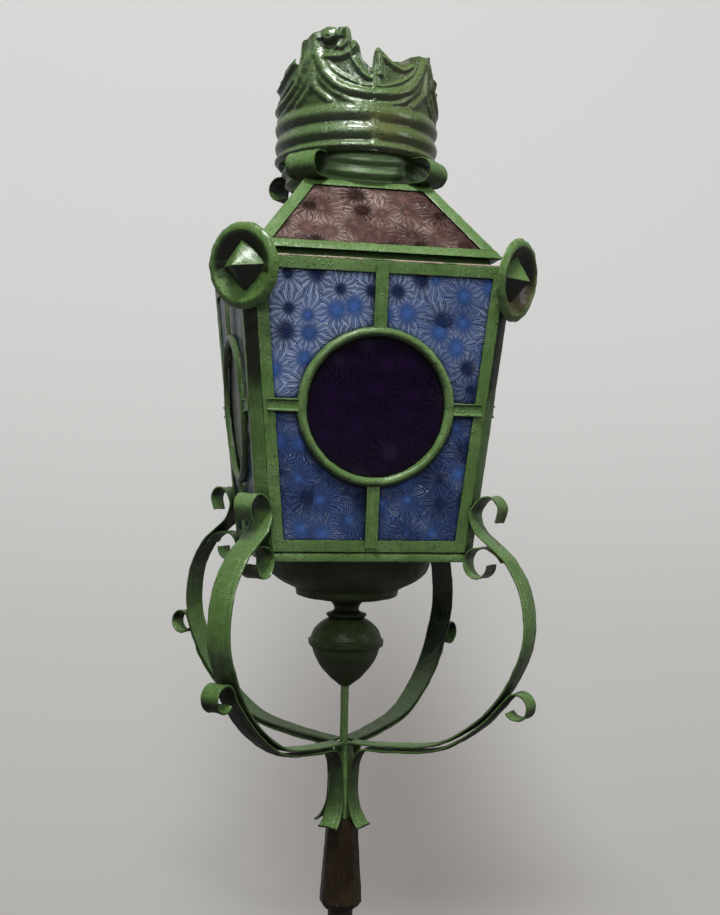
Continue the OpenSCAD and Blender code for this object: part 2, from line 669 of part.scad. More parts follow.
// Broken upper edge, as [angle from the front, share of the upper height]
crown_edge = [[-180, 0.6], [-160, 0.66], [-145, 0.86], [-132, 0.9], [-115, 0.64], [-95, 0.52], [-80, 0.58],
    [-70, 0.76], [-60, 0.9], [-45, 0.96], [-36, 1], [-21, 1], [-16, 0.84], [-11, 0.8], [-7, 0.56],
    [-1, 0.46], [2, 0.7], [5, 0.74], [12, 0.62], [20, 0.58], [30, 0.68], [38, 0.77], [50, 0.8],
    [62, 0.72], [80, 0.58], [98, 0.6], [118, 0.72], [132, 0.84], [146, 0.8], [162, 0.64], [180, 0.6]];
function edge_share(angle) = lookup(angle, crown_edge);
function from_face(angle) = angle - 90 * round(angle / 90);
function bump(f) = f <= 0 ? 0 : f >= 1 ? 1 : f * f * (3 - 2 * f);
function band_relief(f) = let (
        k = f < band_edges[1] ? 0 : f < band_edges[2] ? 1 : 2,
        g = (f - band_edges[k]) / (band_edges[k + 1] - band_edges[k]))
    relief * sqrt(max(0, sin(180 * g)));
function upper_relief(angle, h) = let (
        a = from_face(angle),
        up = h / crown_upper_h,
        pillar = bump(1 - abs(abs(a) - 45) / mix(7, 15, up)),
        swag = norm([a / 37, (0.78 - up) / 0.74]),
        ridges = max(bump(1 - abs(swag - 1) / 0.2), 0.8 * bump(1 - abs(swag - 0.68) / 0.17)),
        boss = bump(1.5 - norm([(angle + 31) * crown_r * PI / 180, h - crown_upper_h * 0.9]) / 8))
    relief * max(pillar * 0.9, ridges) + relief * 1.6 * boss;
band_rows = [for (k = [0:2]) for (g = k == 0 ? [0, 0.35, 0.75] : [0, 0.14, 0.5, 0.86])
    mix(band_edges[k], band_edges[k + 1], g)];
upper_rows = [0, 0.1, 0.2, 0.32, 0.45, 0.6, 0.75, 0.88, 1];
function crown_ring(angle) = let (
        outer = concat(
            [for (f = band_rows) [crown_r + band_relief(f), f * band_zone_h]],
            [for (g = upper_rows) let (h = g * edge_share(angle) * crown_upper_h)
                [crown_r + upper_relief(angle, h), band_zone_h + h]]),
        top = outer[len(outer) - 1],
        inner = [[top[0] - crown_wall, top[1]], [crown_r - crown_wall, band_zone_h + 2],
            [crown_r - crown_wall, band_zone_h / 2], [crown_r - crown_wall, 0]])
    [for (p = concat(outer, inner)) [p[0] * sin(angle), -p[0] * cos(angle), crown_z + p[1]]];
module crown() {
    color(paint)
        skin([for (k = [0:crown_steps - 1]) crown_ring(180 - 360 * k / crown_steps)], closed = true);
}

// Candle holder
cup_floor_z = base_z + seat_gap + sheet + seat_gap + cup_socket_l + 6;
cup_r = candle_r + move_gap + 2;
pan_z = cup_floor_z - 3;
pan_seat_r = cup_r + 3;
module candle_cup() {
    foot_z = base_z + 2 * seat_gap + sheet;
    color("darkgoldenrod") difference() {
        rotate_extrude() polygon([[0, foot_z], [cup_r + 4, foot_z], [cup_r + 4, foot_z + 2],
            [cup_r - 4, foot_z + 5], [cup_r - 4, pan_z - 3], [pan_seat_r, pan_z - 1], [pan_seat_r, pan_z],
            [cup_r, pan_z], [cup_r, cup_floor_z + cup_depth], [0, cup_floor_z + cup_depth]]);
        translate([0, 0, cup_floor_z]) cylinder(h = cup_depth + 1, r = candle_r + move_gap);
        translate([0, 0, foot_z - 1]) cylinder(h = cup_socket_l + 1, r = bore_r);
    }
}
module drip_pan() {
    pan_bore = cup_r + seat_gap;
    lip = 5;
    color("darkgoldenrod") translate([0, 0, pan_z + seat_gap]) rotate_extrude()
        polygon([[pan_bore, 0], [pan_r - lip, 0], [pan_r, lip], [pan_r - sheet, lip],
            [pan_r - lip - sheet * 0.6, sheet], [pan_bore, sheet]]);
}
wick_r = 1;
wick_h = 9;
module candle() {
    dome = 4;
    color(wax) translate([0, 0, cup_floor_z + move_gap]) difference() {
        rotate_extrude() polygon([[0, 0], [candle_r, 0], [candle_r, candle_h - dome],
            [candle_r * 0.8, candle_h - dome / 3], [candle_r * 0.4, candle_h], [0, candle_h]]);
        translate([0, 0, candle_h - wick_h]) cylinder(h = wick_h + 1, r = wick_r + seat_gap);
    }
}
module wick() {
    color("dimgray") translate([0, 0, cup_floor_z + move_gap + candle_h - wick_h + seat_gap])
        cylinder(h = 2 * wick_h, r = wick_r);
}

pole_ferrule();
hub_core();
for (i = [0:3]) arm(i);
for (i = [0:3]) leaf(i);
corner_scrolls();
tie_rod();
knob_lower();
knob_upper();
neck_collar();
bowl();
base_tray();
corner_posts();
for (i = [0:3]) side_frame(i);
for (i = [0:3]) blue_glass(i);
for (i = [0:3]) purple_disc(i);
for (i = [0:3]) round_came(i);
for (i = [0:3]) cross_bars(i);
for (i = rosette_corners) rosette_dish(i);
pyramid_studs();
top_ledge();
eave_frame();
roof_hips();
roof_top_frame();
for (i = [0:3]) roof_pane(i);
hinge_body_leaf();
hinge_lid_leaf();
hinge_pin();
crown_collar();
crown_scrolls();
crown();
candle_cup();
drip_pan();
candle();
wick();
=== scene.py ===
import math

import bmesh
import bpy
import numpy as np
from mathutils import Matrix, Vector, noise


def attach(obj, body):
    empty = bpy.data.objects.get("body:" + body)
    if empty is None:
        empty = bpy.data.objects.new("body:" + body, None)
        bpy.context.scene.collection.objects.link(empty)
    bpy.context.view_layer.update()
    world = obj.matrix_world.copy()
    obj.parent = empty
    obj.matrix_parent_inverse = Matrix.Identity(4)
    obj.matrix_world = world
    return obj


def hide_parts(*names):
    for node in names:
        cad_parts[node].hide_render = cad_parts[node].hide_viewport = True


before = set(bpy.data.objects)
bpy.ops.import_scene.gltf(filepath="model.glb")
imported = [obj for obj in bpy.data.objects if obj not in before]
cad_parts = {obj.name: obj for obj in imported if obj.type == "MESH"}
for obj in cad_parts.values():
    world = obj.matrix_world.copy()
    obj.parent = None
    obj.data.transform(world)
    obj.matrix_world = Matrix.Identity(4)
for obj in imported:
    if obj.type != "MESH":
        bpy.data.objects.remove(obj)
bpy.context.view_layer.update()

bl_info = {
    "name": "Processional Lantern",
    "version": (1, 0, 0),
    "blender": (4, 5, 0),
    "location": "View3D > Sidebar > Lantern",
    "description": "Dresses the packed lantern with painted metal, star-cut glass and an embossed crown",
    "category": "Object",
}

MM = 0.001
SIDES = ["front", "right", "rear", "left"]
CORNERS = ["front_right", "rear_right", "rear_left", "front_left"]

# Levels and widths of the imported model, in millimetres
FERRULE_TOP = 80
HUB = 145
ARM_END = 146.2
KNOB = 195
KNOB_MID = 234
NECK = 255
BOWL = 273
BASE = 312
TRAY_TOP = 319.5
FRAME_LOW = 320.3
BODY_TOP = 557
LEDGE = 558.5
EAVE = 566
ROOF_TOP = 635
CROWN = 658
BASE_HALF = 90
TOP_HALF = 115
BODY_H = 245
CORNER_CUT = 10
SHEET = 1.5
GAP = 0.2
STRIP_W = 9.5
PANE = 3
PANE_EDGE = 5.5
RING_LEVEL = 127.5
RING_MID = 61.5
DISC_R = 61
EAVE_HALF = 105.5
ROOF_TOP_HALF = 55
ROOF_H = 69
ARM_REACH = 178
CROWN_R = 70
BANDS = [0, 9.24, 25.2, 42]
BAND_TOP = BANDS[-1]
CROWN_UPPER = 64
BODY_LEAN = math.atan((TOP_HALF - BASE_HALF) / BODY_H)
POST_LEAN = math.atan(math.tan(BODY_LEAN) * math.sqrt(2))
ROOF_PITCH = math.atan(ROOF_H / (EAVE_HALF - ROOF_TOP_HALF))
# Lower and upper end of a side frame, measured up its slope from the base
SIDE_LOW = (FRAME_LOW - BASE) / math.cos(BODY_LEAN)
SIDE_HIGH = (BODY_TOP - GAP - BASE) / math.cos(BODY_LEAN)

# Stage and finishes, in metres
FLOOR_Z = -0.062
WALL_Y = 0.45
WALL_BEND = 0.25
WALL_TOP = 2.6
STAGE_REACH = 3.0
SHADE_X = 0.13
SOLDER_PATCH = (0.008, -0.071, 0.683)


def srgb(red, green, blue):
    """Linear colour of an 8-bit display colour."""
    def linear(value):
        value /= 255
        return value / 12.92 if value <= 0.04045 else ((value + 0.055) / 1.055) ** 2.4
    return (linear(red), linear(green), linear(blue), 1.0)


def length(name, about, default):
    return bpy.props.FloatProperty(name=name, description=about, default=default * MM, min=0.0,
                                   subtype="DISTANCE", unit="LENGTH", precision=4)


def colour(name, about, default):
    return bpy.props.FloatVectorProperty(name=name, description=about, default=srgb(*default), size=4,
                                         min=0.0, max=1.0, subtype="COLOR")


class LanternSizes(bpy.types.PropertyGroup):
    """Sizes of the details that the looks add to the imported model"""
    paint_lump: length("Paint lumps", "Height of the lumps in the thick paint", 0.38)
    strap_hollow: length("Strap hollow", "Depth of the hollow along the inside of a strap", 0.9)
    strap_flute: length("Strap flute", "Depth of the flutes along the outside of a strap", 0.5)
    edge_round: length("Edge rounding", "Radius of the rounded edges of strips and frames", 0.7)
    star_pitch: length("Star pitch", "Distance between the star bursts in the glass", 22)
    relief: length("Crown relief", "Height of the crown's embossed ridges", 4.0)
    dish_depth: length("Rosette depth", "Depth of a rosette's dish", 6.2)
    rim_notch: length("Rim notch", "Depth of the dents in a rosette's rim", 0.6)
    stud_half: length("Stud half", "Half of a pyramid stud's diagonal", 22)


class LanternColours(bpy.types.PropertyGroup):
    """Colours of the finishes"""
    paint: colour("Paint", "Green paint where it is even", (83, 115, 57))
    paint_light: colour("Light paint", "Green paint where brushing thinned it", (114, 146, 88))
    crown: colour("Crown paint", "Faded green paint of the crown", (83, 108, 60))
    crown_light: colour("Light crown paint", "Crown paint where brushing thinned it", (106, 133, 84))
    # The collar green is lighter than the paint, as painted light under the crown.
    collar: colour("Collar paint", "Collar green, lighter than the paint as painted light", (106, 132, 90))
    # Dark colour of the painted shade on undersides, in corners and hollows, and of dirt.
    paint_dark: colour("Shade and grime", "Painted shade on undersides and in corners, and dirt", (14, 17, 6))
    # The stem green is darker for dirt and as painted shade.
    stem: colour("Stem paint", "Stem green, darker for dirt and as painted shade", (52, 62, 34))
    stem_light: colour("Light stem paint", "Stem paint where it is rubbed", (66, 80, 46))
    ferrule: colour("Ferrule", "Dark worn finish of the pole end", (37, 27, 16))
    ferrule_light: colour("Light ferrule", "Rubbed places of the pole end", (62, 52, 34))
    ochre: colour("Ochre", "Old gilding and rust that shows through", (142, 112, 60))
    solder: colour("Solder patch", "Olive stain beside the crown's seam", (96, 96, 48))
    primer: colour("Primer", "Pale primer on worn edges", (186, 168, 148))
    rust: colour("Rust", "Brown inside of the right rosette", (92, 70, 52))
    shade: colour("Shaded paint", "Deep green in the hollows of the crown", (17, 29, 11))
    # The glass ground is lighter high on a side, as painted light.
    blue: colour("Blue glass", "Ground between the stars, low on a side", (66, 84, 128))
    blue_light: colour("Light blue glass", "Ground between the stars, high on a side", (156, 174, 210))
    blue_star: colour("Blue stars", "Bright stars in the blue glass", (70, 104, 172))
    navy: colour("Navy stars", "Dark stars in the blue glass", (32, 44, 82))
    purple: colour("Purple glass", "Round disc of dark glass", (15, 4, 27))
    purple_line: colour("Purple line", "Fine lines of the round panes", (40, 26, 52))
    purple_star: colour("Purple stars", "Faint stars in the dark glass", (30, 12, 46))
    brown: colour("Brown glass", "Ground between the stars of the roof glass", (112, 86, 80))
    brown_light: colour("Light brown glass", "Ground of the roof glass where light passes", (188, 164, 154))
    brown_star: colour("Brown stars", "Pale stars in the roof glass", (116, 86, 80))
    brown_dark: colour("Dark brown stars", "Dark stars in the roof glass", (54, 35, 33))
    glint: colour("Glint", "Bright edges of the strokes in the glass", (226, 228, 232))
    brass: colour("Brass", "Old brass of the candle holder", (122, 98, 52))
    wax: colour("Wax", "Candle wax", (232, 220, 190))
    wall: colour("Wall", "Pale backdrop", (216, 216, 214))
    wall_low: colour("Low wall", "Backdrop near the floor", (182, 180, 177))
    wall_shade: colour("Shaded wall", "Backdrop in the warm shade behind the stem", (116, 103, 95))


def sizes():
    return bpy.context.scene.lantern_sizes


def colours():
    return bpy.context.scene.lantern_colours


def mm(value):
    """Millimetres of a size that is kept in metres."""
    return value / MM


def mix(a, b, share):
    return a + (b - a) * share


def turn_z(degrees):
    return Matrix.Rotation(math.radians(degrees), 4, "Z")


# Curves and outlines

def curve_through(points, steps):
    """Smooth curve through points, with a number of steps in each span."""
    points = [Vector(p) for p in points]
    last = len(points) - 1
    curve = []
    for i in range(last):
        a, b, c, d = points[max(i - 1, 0)], points[i], points[i + 1], points[min(i + 2, last)]
        for k in range(steps):
            f = k / steps
            curve.append(b + (c - a) * (f / 2) + (2 * a - 5 * b + 4 * c - d) * (f * f / 2)
                         + (3 * b - a - 3 * c + d) * (f ** 3 / 2))
    return curve + [points[last]]


def evenly(path, pitch):
    """The same path with stations a nearly equal distance apart."""
    runs = [0.0]
    for a, b in zip(path, path[1:]):
        runs.append(runs[-1] + (b - a).length)
    count = max(2, round(runs[-1] / pitch))
    stations = []
    i = 0
    for k in range(count + 1):
        at = runs[-1] * k / count
        while i < len(path) - 2 and runs[i + 1] < at:
            i += 1
        span = runs[i + 1] - runs[i]
        stations.append(path[i].lerp(path[i + 1], 0 if span == 0 else (at - runs[i]) / span))
    return stations


def rounded(outline, radius, steps=2):
    """Closed outline with its corners rounded."""
    result = []
    count = len(outline)
    for i in range(count):
        before, at, after = Vector(outline[i - 1]), Vector(outline[i]), Vector(outline[(i + 1) % count])
        reach = min(radius, (before - at).length * 0.4, (after - at).length * 0.4)
        start = at + (before - at).normalized() * reach
        end = at + (after - at).normalized() * reach
        for k in range(steps + 1):
            f = k / steps
            result.append(start * (1 - f) ** 2 + at * (2 * f * (1 - f)) + end * f ** 2)
    return result


def square(half):
    return [(half, -half), (half, half), (-half, half), (-half, -half)]


def lifted(outline, z, place):
    """Flat outline at a height, put in its place."""
    return [place @ Vector((p[0], p[1], z)) for p in outline]


def bridged(stations, counts):
    """Rings from each station to the next and back to the first, with a count of steps in each span."""
    rings = []
    for i, ring in enumerate(stations):
        after = stations[(i + 1) % len(stations)]
        count = counts[i % len(counts)]
        rings += [[a.lerp(b, k / count) for a, b in zip(ring, after)] for k in range(count)]
    return rings


def square_rings(profile, cut, steps):
    """Rings of a profile of [half width, height] round a square with plain or bevelled corners."""
    stations = []
    for quarter in range(4):
        place = turn_z(90 * quarter)
        for x_cut, y_cut in ([(0, cut), (cut, 0)] if cut else [(0, 0)]):
            stations.append([place @ Vector((p[0] - x_cut, p[0] - y_cut, p[1])) for p in profile])
    return bridged(stations, [4, steps] if cut else [steps])


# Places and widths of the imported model

def side_place(side):
    """Place of a body side: x across it, y up its slope and z outwards."""
    return (turn_z(90 * side) @ Matrix.Translation((0, -BASE_HALF, BASE))
            @ Matrix.Rotation(math.radians(90) + BODY_LEAN, 4, "X"))


def corner_place(corner):
    """Place of a corner: x points away from the axis."""
    return turn_z(90 * corner - 45)


def side_half(z):
    return BASE_HALF + (TOP_HALF - BASE_HALF) * (z - BASE) / BODY_H


def post_reach(z):
    return (2 * side_half(z) - CORNER_CUT) / math.sqrt(2)


def face_half(v):
    return BASE_HALF + v * math.sin(BODY_LEAN) - CORNER_CUT


def roof_half(z):
    return EAVE_HALF + (ROOF_TOP_HALF - EAVE_HALF) * (z - EAVE) / ROOF_H


# Mesh tools

def made_verts(geom):
    return [v for v in geom if isinstance(v, bmesh.types.BMVert)]


def loft(bm, rings, closed=False):
    """Extrude a closed outline from ring to ring, and close its ends or join the last ring to the first.
    Gives the vertices of each ring."""
    ring = [bm.verts.new(p) for p in rings[0]]
    made_rings = [ring]
    count = len(ring)
    edges = [bm.edges.new((ring[i - 1], ring[i])) for i in range(count)]
    start = list(edges)
    for points in rings[1:]:
        fresh = set(made_verts(bmesh.ops.extrude_edge_only(bm, edges=edges)["geom"]))
        ring = [next(e.other_vert(v) for e in v.link_edges if e.other_vert(v) in fresh) for v in ring]
        for vert, point in zip(ring, points):
            vert.co = point
        made_rings.append(ring)
        edges = [bm.edges.get((ring[i - 1], ring[i])) for i in range(count)]
    if closed:
        bmesh.ops.bridge_loops(bm, edges=start + edges)
    else:
        bmesh.ops.edgeloop_fill(bm, edges=start)
        bmesh.ops.edgeloop_fill(bm, edges=edges)
    return made_rings


def lathe(bm, profile, steps=96, loop=False):
    """Spin a profile of [radius, height] round the vertical axis."""
    verts = [bm.verts.new((p[0], 0, p[1])) for p in profile]
    edges = [bm.edges.new(pair) for pair in zip(verts, verts[1:])]
    if loop:
        edges.append(bm.edges.new((verts[-1], verts[0])))
    bmesh.ops.spin(bm, geom=verts + edges, cent=(0, 0, 0), axis=(0, 0, 1), dvec=(0, 0, 0),
                   angle=math.tau, steps=steps, use_merge=True)
    bmesh.ops.remove_doubles(bm, verts=bm.verts, dist=1e-4)


def outward(bm):
    bmesh.ops.recalc_face_normals(bm, faces=bm.faces)
    bm.normal_update()


def thicken(bm, wall):
    outward(bm)
    bmesh.ops.solidify(bm, geom=bm.faces[:], thickness=wall)


def lumps(bm, height, size, seed):
    """Move each vertex along its normal by smooth noise, as lumps in thick paint do."""
    outward(bm)
    shift = Vector((seed, seed * 0.7, -seed * 0.4))
    moves = [(v, v.normal * height * (noise.noise(v.co / size + shift)
              + 0.5 * noise.noise(v.co / (size * 0.4) - shift))) for v in bm.verts]
    for vert, move in moves:
        vert.co += move


def strap(bm, path, widths, section, place, dirt=1.0):
    """Bend a strap along a path of [distance from the axis, height]. Its widths are given as [share of the
    path, width], and its section as [share of the half width, height off the middle], the outside first and
    then the inside, which carries a mark of weight dirt for painted shade and dirt."""
    hollow = bm.verts.layers.float.get("hollow_side") or bm.verts.layers.float.new("hollow_side")
    rings = []
    last = len(path) - 1
    for i, at in enumerate(path):
        along = (path[min(i + 1, last)] - path[max(i - 1, 0)]).normalized()
        off = Vector((-along[1], along[0]))
        width = np.interp(i / last, *zip(*widths))
        rings.append([place @ Vector((at[0] + off[0] * h, s * width / 2, at[1] + off[1] * h))
                      for s, h in section])
    # The inside half carries the hollow_side mark, which the finishes turn into painted shade and dirt.
    for ring in loft(bm, rings):
        for vert in ring[len(ring) // 2:]:
            vert[hollow] = dirt


def strap_section(thickness, hollow, flute):
    """Section of a strap: rounded outside with shallow flutes, hollow inside, thin round edges."""
    def half(share):
        return thickness / 2 * (0.55 if abs(share) == 1 else 1)
    shares = [k / 12 for k in range(-12, 13)]
    outside = [(s, half(s) + hollow * (1 - s * s)
                - flute * max(0.0, math.cos(math.pi * (abs(s) - 0.58) / 0.5)) ** 4) for s in shares]
    inside = [(s, hollow * 0.85 * (1 - s * s) - half(s)) for s in reversed(shares)]
    return outside + inside


def mesh_object(bm, name, material):
    mesh = bpy.data.meshes.new(name)
    bm.to_mesh(mesh)
    bm.free()
    mesh.shade_smooth()
    mesh.materials.append(material)
    obj = bpy.data.objects.new(name, mesh)
    bpy.context.scene.collection.objects.link(obj)
    return obj


def piece(bm, name, body, material, node, lump=None, angle=38):
    """Turn a bmesh in millimetres into a piece that rides on a body and stands for a CAD node. A lump gives
    the height, size and seed of the lumps in its paint."""
    if lump:
        lumps(bm, *lump)
    outward(bm)
    bmesh.ops.scale(bm, vec=(MM, MM, MM), verts=bm.verts)
    obj = mesh_object(bm, name, finish(material))
    obj.data.set_sharp_from_angle(angle=math.radians(angle))
    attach(obj, body)
    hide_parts(node)
    return obj


def pane(bm, outline, place, side):
    """Slab of glass behind a frame's face, with its own flat coordinates. Each side's coordinates start a
    metre further on, so that no two sides have the same stars."""
    verts = [bm.verts.new((p[0], p[1], -(SHEET + GAP + PANE))) for p in outline]
    edges = [bm.edges.new((verts[i - 1], verts[i])) for i in range(len(verts))]
    face = bmesh.ops.edgeloop_fill(bm, edges=edges)["faces"][0]
    top = made_verts(bmesh.ops.extrude_face_region(bm, geom=[face], use_keep_orig=True)["geom"])
    bmesh.ops.translate(bm, vec=(0, 0, PANE), verts=top)
    flat = bm.loops.layers.uv.verify()
    for vert in verts + top:
        for loop in vert.link_loops:
            loop[flat].uv = (vert.co.x * MM + side, vert.co.y * MM)
    bmesh.ops.transform(bm, matrix=place, verts=verts + top)


def glass_piece(bm, name, body, material, node):
    """Piece of panes, whose flat coordinates get the name that the glass reads."""
    piece(bm, name, body, material, node).data.uv_layers[0].name = "pane"


# Materials

class Nodes:
    """Adds shader nodes to a tree, and links or sets their inputs"""

    def __init__(self, tree):
        self.tree = tree

    def feed(self, value, socket):
        if isinstance(value, bpy.types.NodeSocket):
            self.tree.links.new(value, socket)
        else:
            socket.default_value = value

    def add(self, kind, inputs=None, **settings):
        nodes = self.tree.nodes
        made = nodes.new("ShaderNode" + kind)
        made.location = (200 * (len(nodes) % 8), -260 * (len(nodes) // 8))
        for key, value in settings.items():
            setattr(made, key, value)
        for key, value in (inputs or {}).items():
            self.feed(value, made.inputs[key])
        return made

    def maths(self, operation, a, b=0.0, clamp=False):
        return self.add("Math", {0: a, 1: b}, operation=operation, use_clamp=clamp).outputs[0]

    def times(self, first, *others):
        for other in others:
            first = self.maths("MULTIPLY", first, other)
        return first

    def plus(self, first, *others):
        for other in others:
            first = self.maths("ADD", first, other)
        return first

    def ramp(self, value, low, high, to_low=0.0, to_high=1.0):
        """Value carried smoothly from one range to another."""
        inputs = {"Value": value, "From Min": low, "From Max": high, "To Min": to_low, "To Max": to_high}
        return self.add("MapRange", inputs, interpolation_type="SMOOTHSTEP").outputs["Result"]

    def blend(self, share, a, b):
        return self.add("Mix", {0: share, 6: a, 7: b}, data_type="RGBA").outputs[2]

    def noise(self, vector, scale, detail, roughness=0.5):
        inputs = {"Vector": vector, "Scale": scale, "Detail": detail, "Roughness": roughness}
        return self.add("TexNoise", inputs).outputs[0]

    def split(self, vector):
        return self.add("SeparateXYZ", {0: vector}).outputs

    def layer(self, name):
        """Value that the mesh keeps at its vertices."""
        return self.add("Attribute", attribute_name=name).outputs["Fac"]

    def corner(self, distance):
        """Value that falls in corners."""
        return self.add("AmbientOcclusion", {"Distance": distance}, samples=6).outputs["AO"]

    def bump(self, shader, strength, distance, height):
        made = self.add("Bump", {"Strength": strength, "Distance": distance, "Height": height})
        self.feed(made.outputs[0], shader["Normal"])

    def shared(self, name, build, inputs):
        """Outputs of a shared group, which is built when it is first placed."""
        tree = bpy.data.node_groups.get(name) or build(name)
        return self.add("Group", inputs, node_tree=tree).outputs


def node_group(name, inputs, outputs):
    """Nodes of a new group, and the sockets of its inputs and outputs by name."""
    tree = bpy.data.node_groups.new(name, "ShaderNodeTree")
    for in_out, sockets in (("INPUT", inputs), ("OUTPUT", outputs)):
        for title, kind in sockets.items():
            tree.interface.new_socket(title, in_out=in_out, socket_type="NodeSocket" + kind)
    return Nodes(tree), tree.nodes.new("NodeGroupInput").outputs, tree.nodes.new("NodeGroupOutput").inputs


def brushed_paint_group(name):
    """Thick brushed paint with streaks, flecks, pimples, dirt stains and painted shade in corners and on what
    faces down.
    """
    n, given, out = node_group(
        name, {"Vector": "Vector", "Facing": "Float", "Corner": "Float", "Paint": "Color", "Light": "Color",
               "Dark": "Color", "Shade and grime": "Float"},
        {"Colour": "Color", "Roughness": "Float", "Height": "Float"})
    at = given["Vector"]
    brush = n.add("Mapping", {"Vector": at, "Scale": (420.0, 420.0, 55.0)}).outputs[0]
    broad = n.noise(at, 26.0, 4.0)
    streak = n.noise(brush, 1.0, 3.0)
    fleck = n.noise(at, 520.0, 2.0)
    stain = n.noise(at, 75.0, 5.0, 0.65)
    peel = n.noise(at, 640.0, 2.0)
    pimple = n.add("TexVoronoi", {"Vector": at, "Scale": 310.0}).outputs["Distance"]
    tone = n.maths("ADD", n.ramp(broad, 0.3, 0.7, 0.0, 0.6), n.ramp(streak, 0.3, 0.7, -0.12, 0.2), clamp=True)
    even = n.blend(tone, given["Paint"], given["Light"])
    # Painted shade where the surface faces down and, from the corner input, in corners; the stain adds dirt.
    under = n.ramp(given["Facing"], 0.05, -0.55)
    corner = n.ramp(given["Corner"], 0.75, 0.2, 0.0, 0.9)
    dirt = n.ramp(stain, 0.55, 0.8, 0.0, 0.4)
    spread = n.maths("ADD", n.plus(under, corner), dirt, clamp=True)
    grime = n.maths("MULTIPLY", spread, given["Shade and grime"], clamp=True)
    shaded_and_dirty = n.blend(grime, even, given["Dark"])
    n.feed(n.blend(n.ramp(fleck, 0.63, 0.7, 0.0, 0.7), shaded_and_dirty, given["Dark"]), out["Colour"])
    n.feed(n.plus(n.ramp(stain, 0.3, 0.75, 0.22, 0.46), n.times(grime, 0.35)), out["Roughness"])
    sparse = n.times(n.ramp(pimple, 0.08, 0.34, 0.9, 0.0), n.ramp(broad, 0.42, 0.6))
    n.feed(n.plus(n.times(streak, 0.35), sparse, n.times(peel, 0.5), n.times(stain, 1.3)), out["Height"])
    return n.tree


def star_burst_group(name):
    """Star bursts pressed into glass: strokes that run out from scattered centres and thin outwards."""
    n, given, out = node_group(
        name, {"Vector": "Vector", "Density": "Float"},
        {"Strokes": "Float", "Lines": "Float", "Random": "Float", "Glint": "Float", "Height": "Float"})
    at = n.add("VectorMath", {0: given["Vector"], "Scale": given["Density"]}, operation="SCALE").outputs[0]
    cells = n.add("TexVoronoi", {"Vector": at, "Scale": 1.0, "Randomness": 0.66},
                  voronoi_dimensions="2D").outputs
    away = n.add("VectorMath", {0: at, 1: cells["Position"]}, operation="SUBTRACT").outputs[0]
    x, y = n.split(away)[:2]
    chance = n.add("SeparateColor", {0: cells["Color"]}).outputs
    angle = n.plus(n.maths("ARCTAN2", y, x), n.times(n.noise(at, 4.0, 2.0), 0.35))
    fine, coarse = (n.maths("SINE", n.plus(n.times(angle, count), n.times(turn, math.tau)))
                    for count, turn in ((36.0, chance[1]), (21.0, chance[2])))
    wave = n.plus(fine, n.times(coarse, 0.45))
    spread = n.times(cells["Distance"], n.ramp(chance[2], 0.0, 1.0, 0.95, 1.7))
    limit = n.ramp(spread, 0.04, 0.5, -1.6, 0.8)
    strokes = n.ramp(n.maths("SUBTRACT", wave, limit), -0.18, 0.18)
    lines = n.times(n.ramp(wave, -0.2, -0.85), n.ramp(spread, 0.1, 0.24))
    edge = n.times(strokes, n.maths("SUBTRACT", 1.0, strokes))
    shine = n.ramp(n.noise(at, 1.7, 3.0, 0.7), 0.5, 0.6)
    glint = n.maths("MULTIPLY", n.times(edge, 4.0), shine, clamp=True)
    for title, value in (("Strokes", strokes), ("Lines", lines), ("Random", chance[0]), ("Glint", glint),
                         ("Height", n.maths("SUBTRACT", strokes, lines))):
        n.feed(value, out[title])
    return n.tree


def new_material(name, **settings):
    """Nodes of a new material, and its Principled shader's inputs with the constant ones set."""
    material = bpy.data.materials.new(name)
    material.use_nodes = True
    shader = material.node_tree.nodes["Principled BSDF"].inputs
    for title, value in settings.items():
        shader[title.replace("_", " ")].default_value = value
    return Nodes(material.node_tree), shader


def painted(name, extra=None, paint="paint", light="paint_light", dark="paint_dark", grime=0.85, bump=0.75,
            gloss=0.4, coat=0.25):
    """Painted metal in three colours; extra may change the colour before it reaches the shader."""
    c = colours()
    n, shader = new_material(name, Specular_IOR_Level=gloss, Coat_Weight=coat, Coat_Roughness=0.16)
    where = n.add("TexCoord").outputs
    # The facing and corner inputs carry the painted shade on undersides and in corners.
    made = n.shared("brushed_paint", brushed_paint_group, {
        "Vector": where["Object"], "Facing": n.split(where["Normal"])[2], "Corner": n.corner(0.012),
        "Paint": getattr(c, paint), "Light": getattr(c, light), "Dark": getattr(c, dark), "Shade and grime": grime})
    tint = extra(n, where, made["Colour"]) if extra else made["Colour"]
    n.feed(tint, shader["Base Color"])
    n.feed(made["Roughness"], shader["Roughness"])
    n.bump(shader, bump, 0.0009, made["Height"])


def strap_shade_light_and_dirt(n, where, tint):
    """Painted shade on the hollow side of a strap, painted shade and dirt at the rear right, and painted
    light on upper faces round the hub.
    """
    c = colours()
    hollow = n.layer("hollow_side")
    x, y, height = n.split(where["Object"])
    facing = n.split(where["Normal"])[2]
    # Painted shade on the hollow side where it does not face up, stronger low down.
    below = n.times(n.ramp(height, 0.345, 0.32, 0.3, 0.5), n.ramp(facing, 0.35, 0.0))
    tint = n.blend(n.times(hollow, below), tint, c.paint_dark)
    # Painted shade and dirt on the hollow side of the rear right arm.
    rear = n.times(n.ramp(x, 0.01, 0.04, 0.0, 0.82), n.ramp(y, 0.01, 0.04), n.ramp(height, 0.5, 0.45))
    tint = n.blend(n.times(hollow, rear), tint, c.paint_dark)
    # Painted light: upper faces round the hub are lighter.
    rubbed = n.times(n.ramp(height, 0.22, 0.16, 0.0, 0.9), n.ramp(facing, 0.3, 0.7))
    return n.blend(rubbed, tint, c.crown_light)


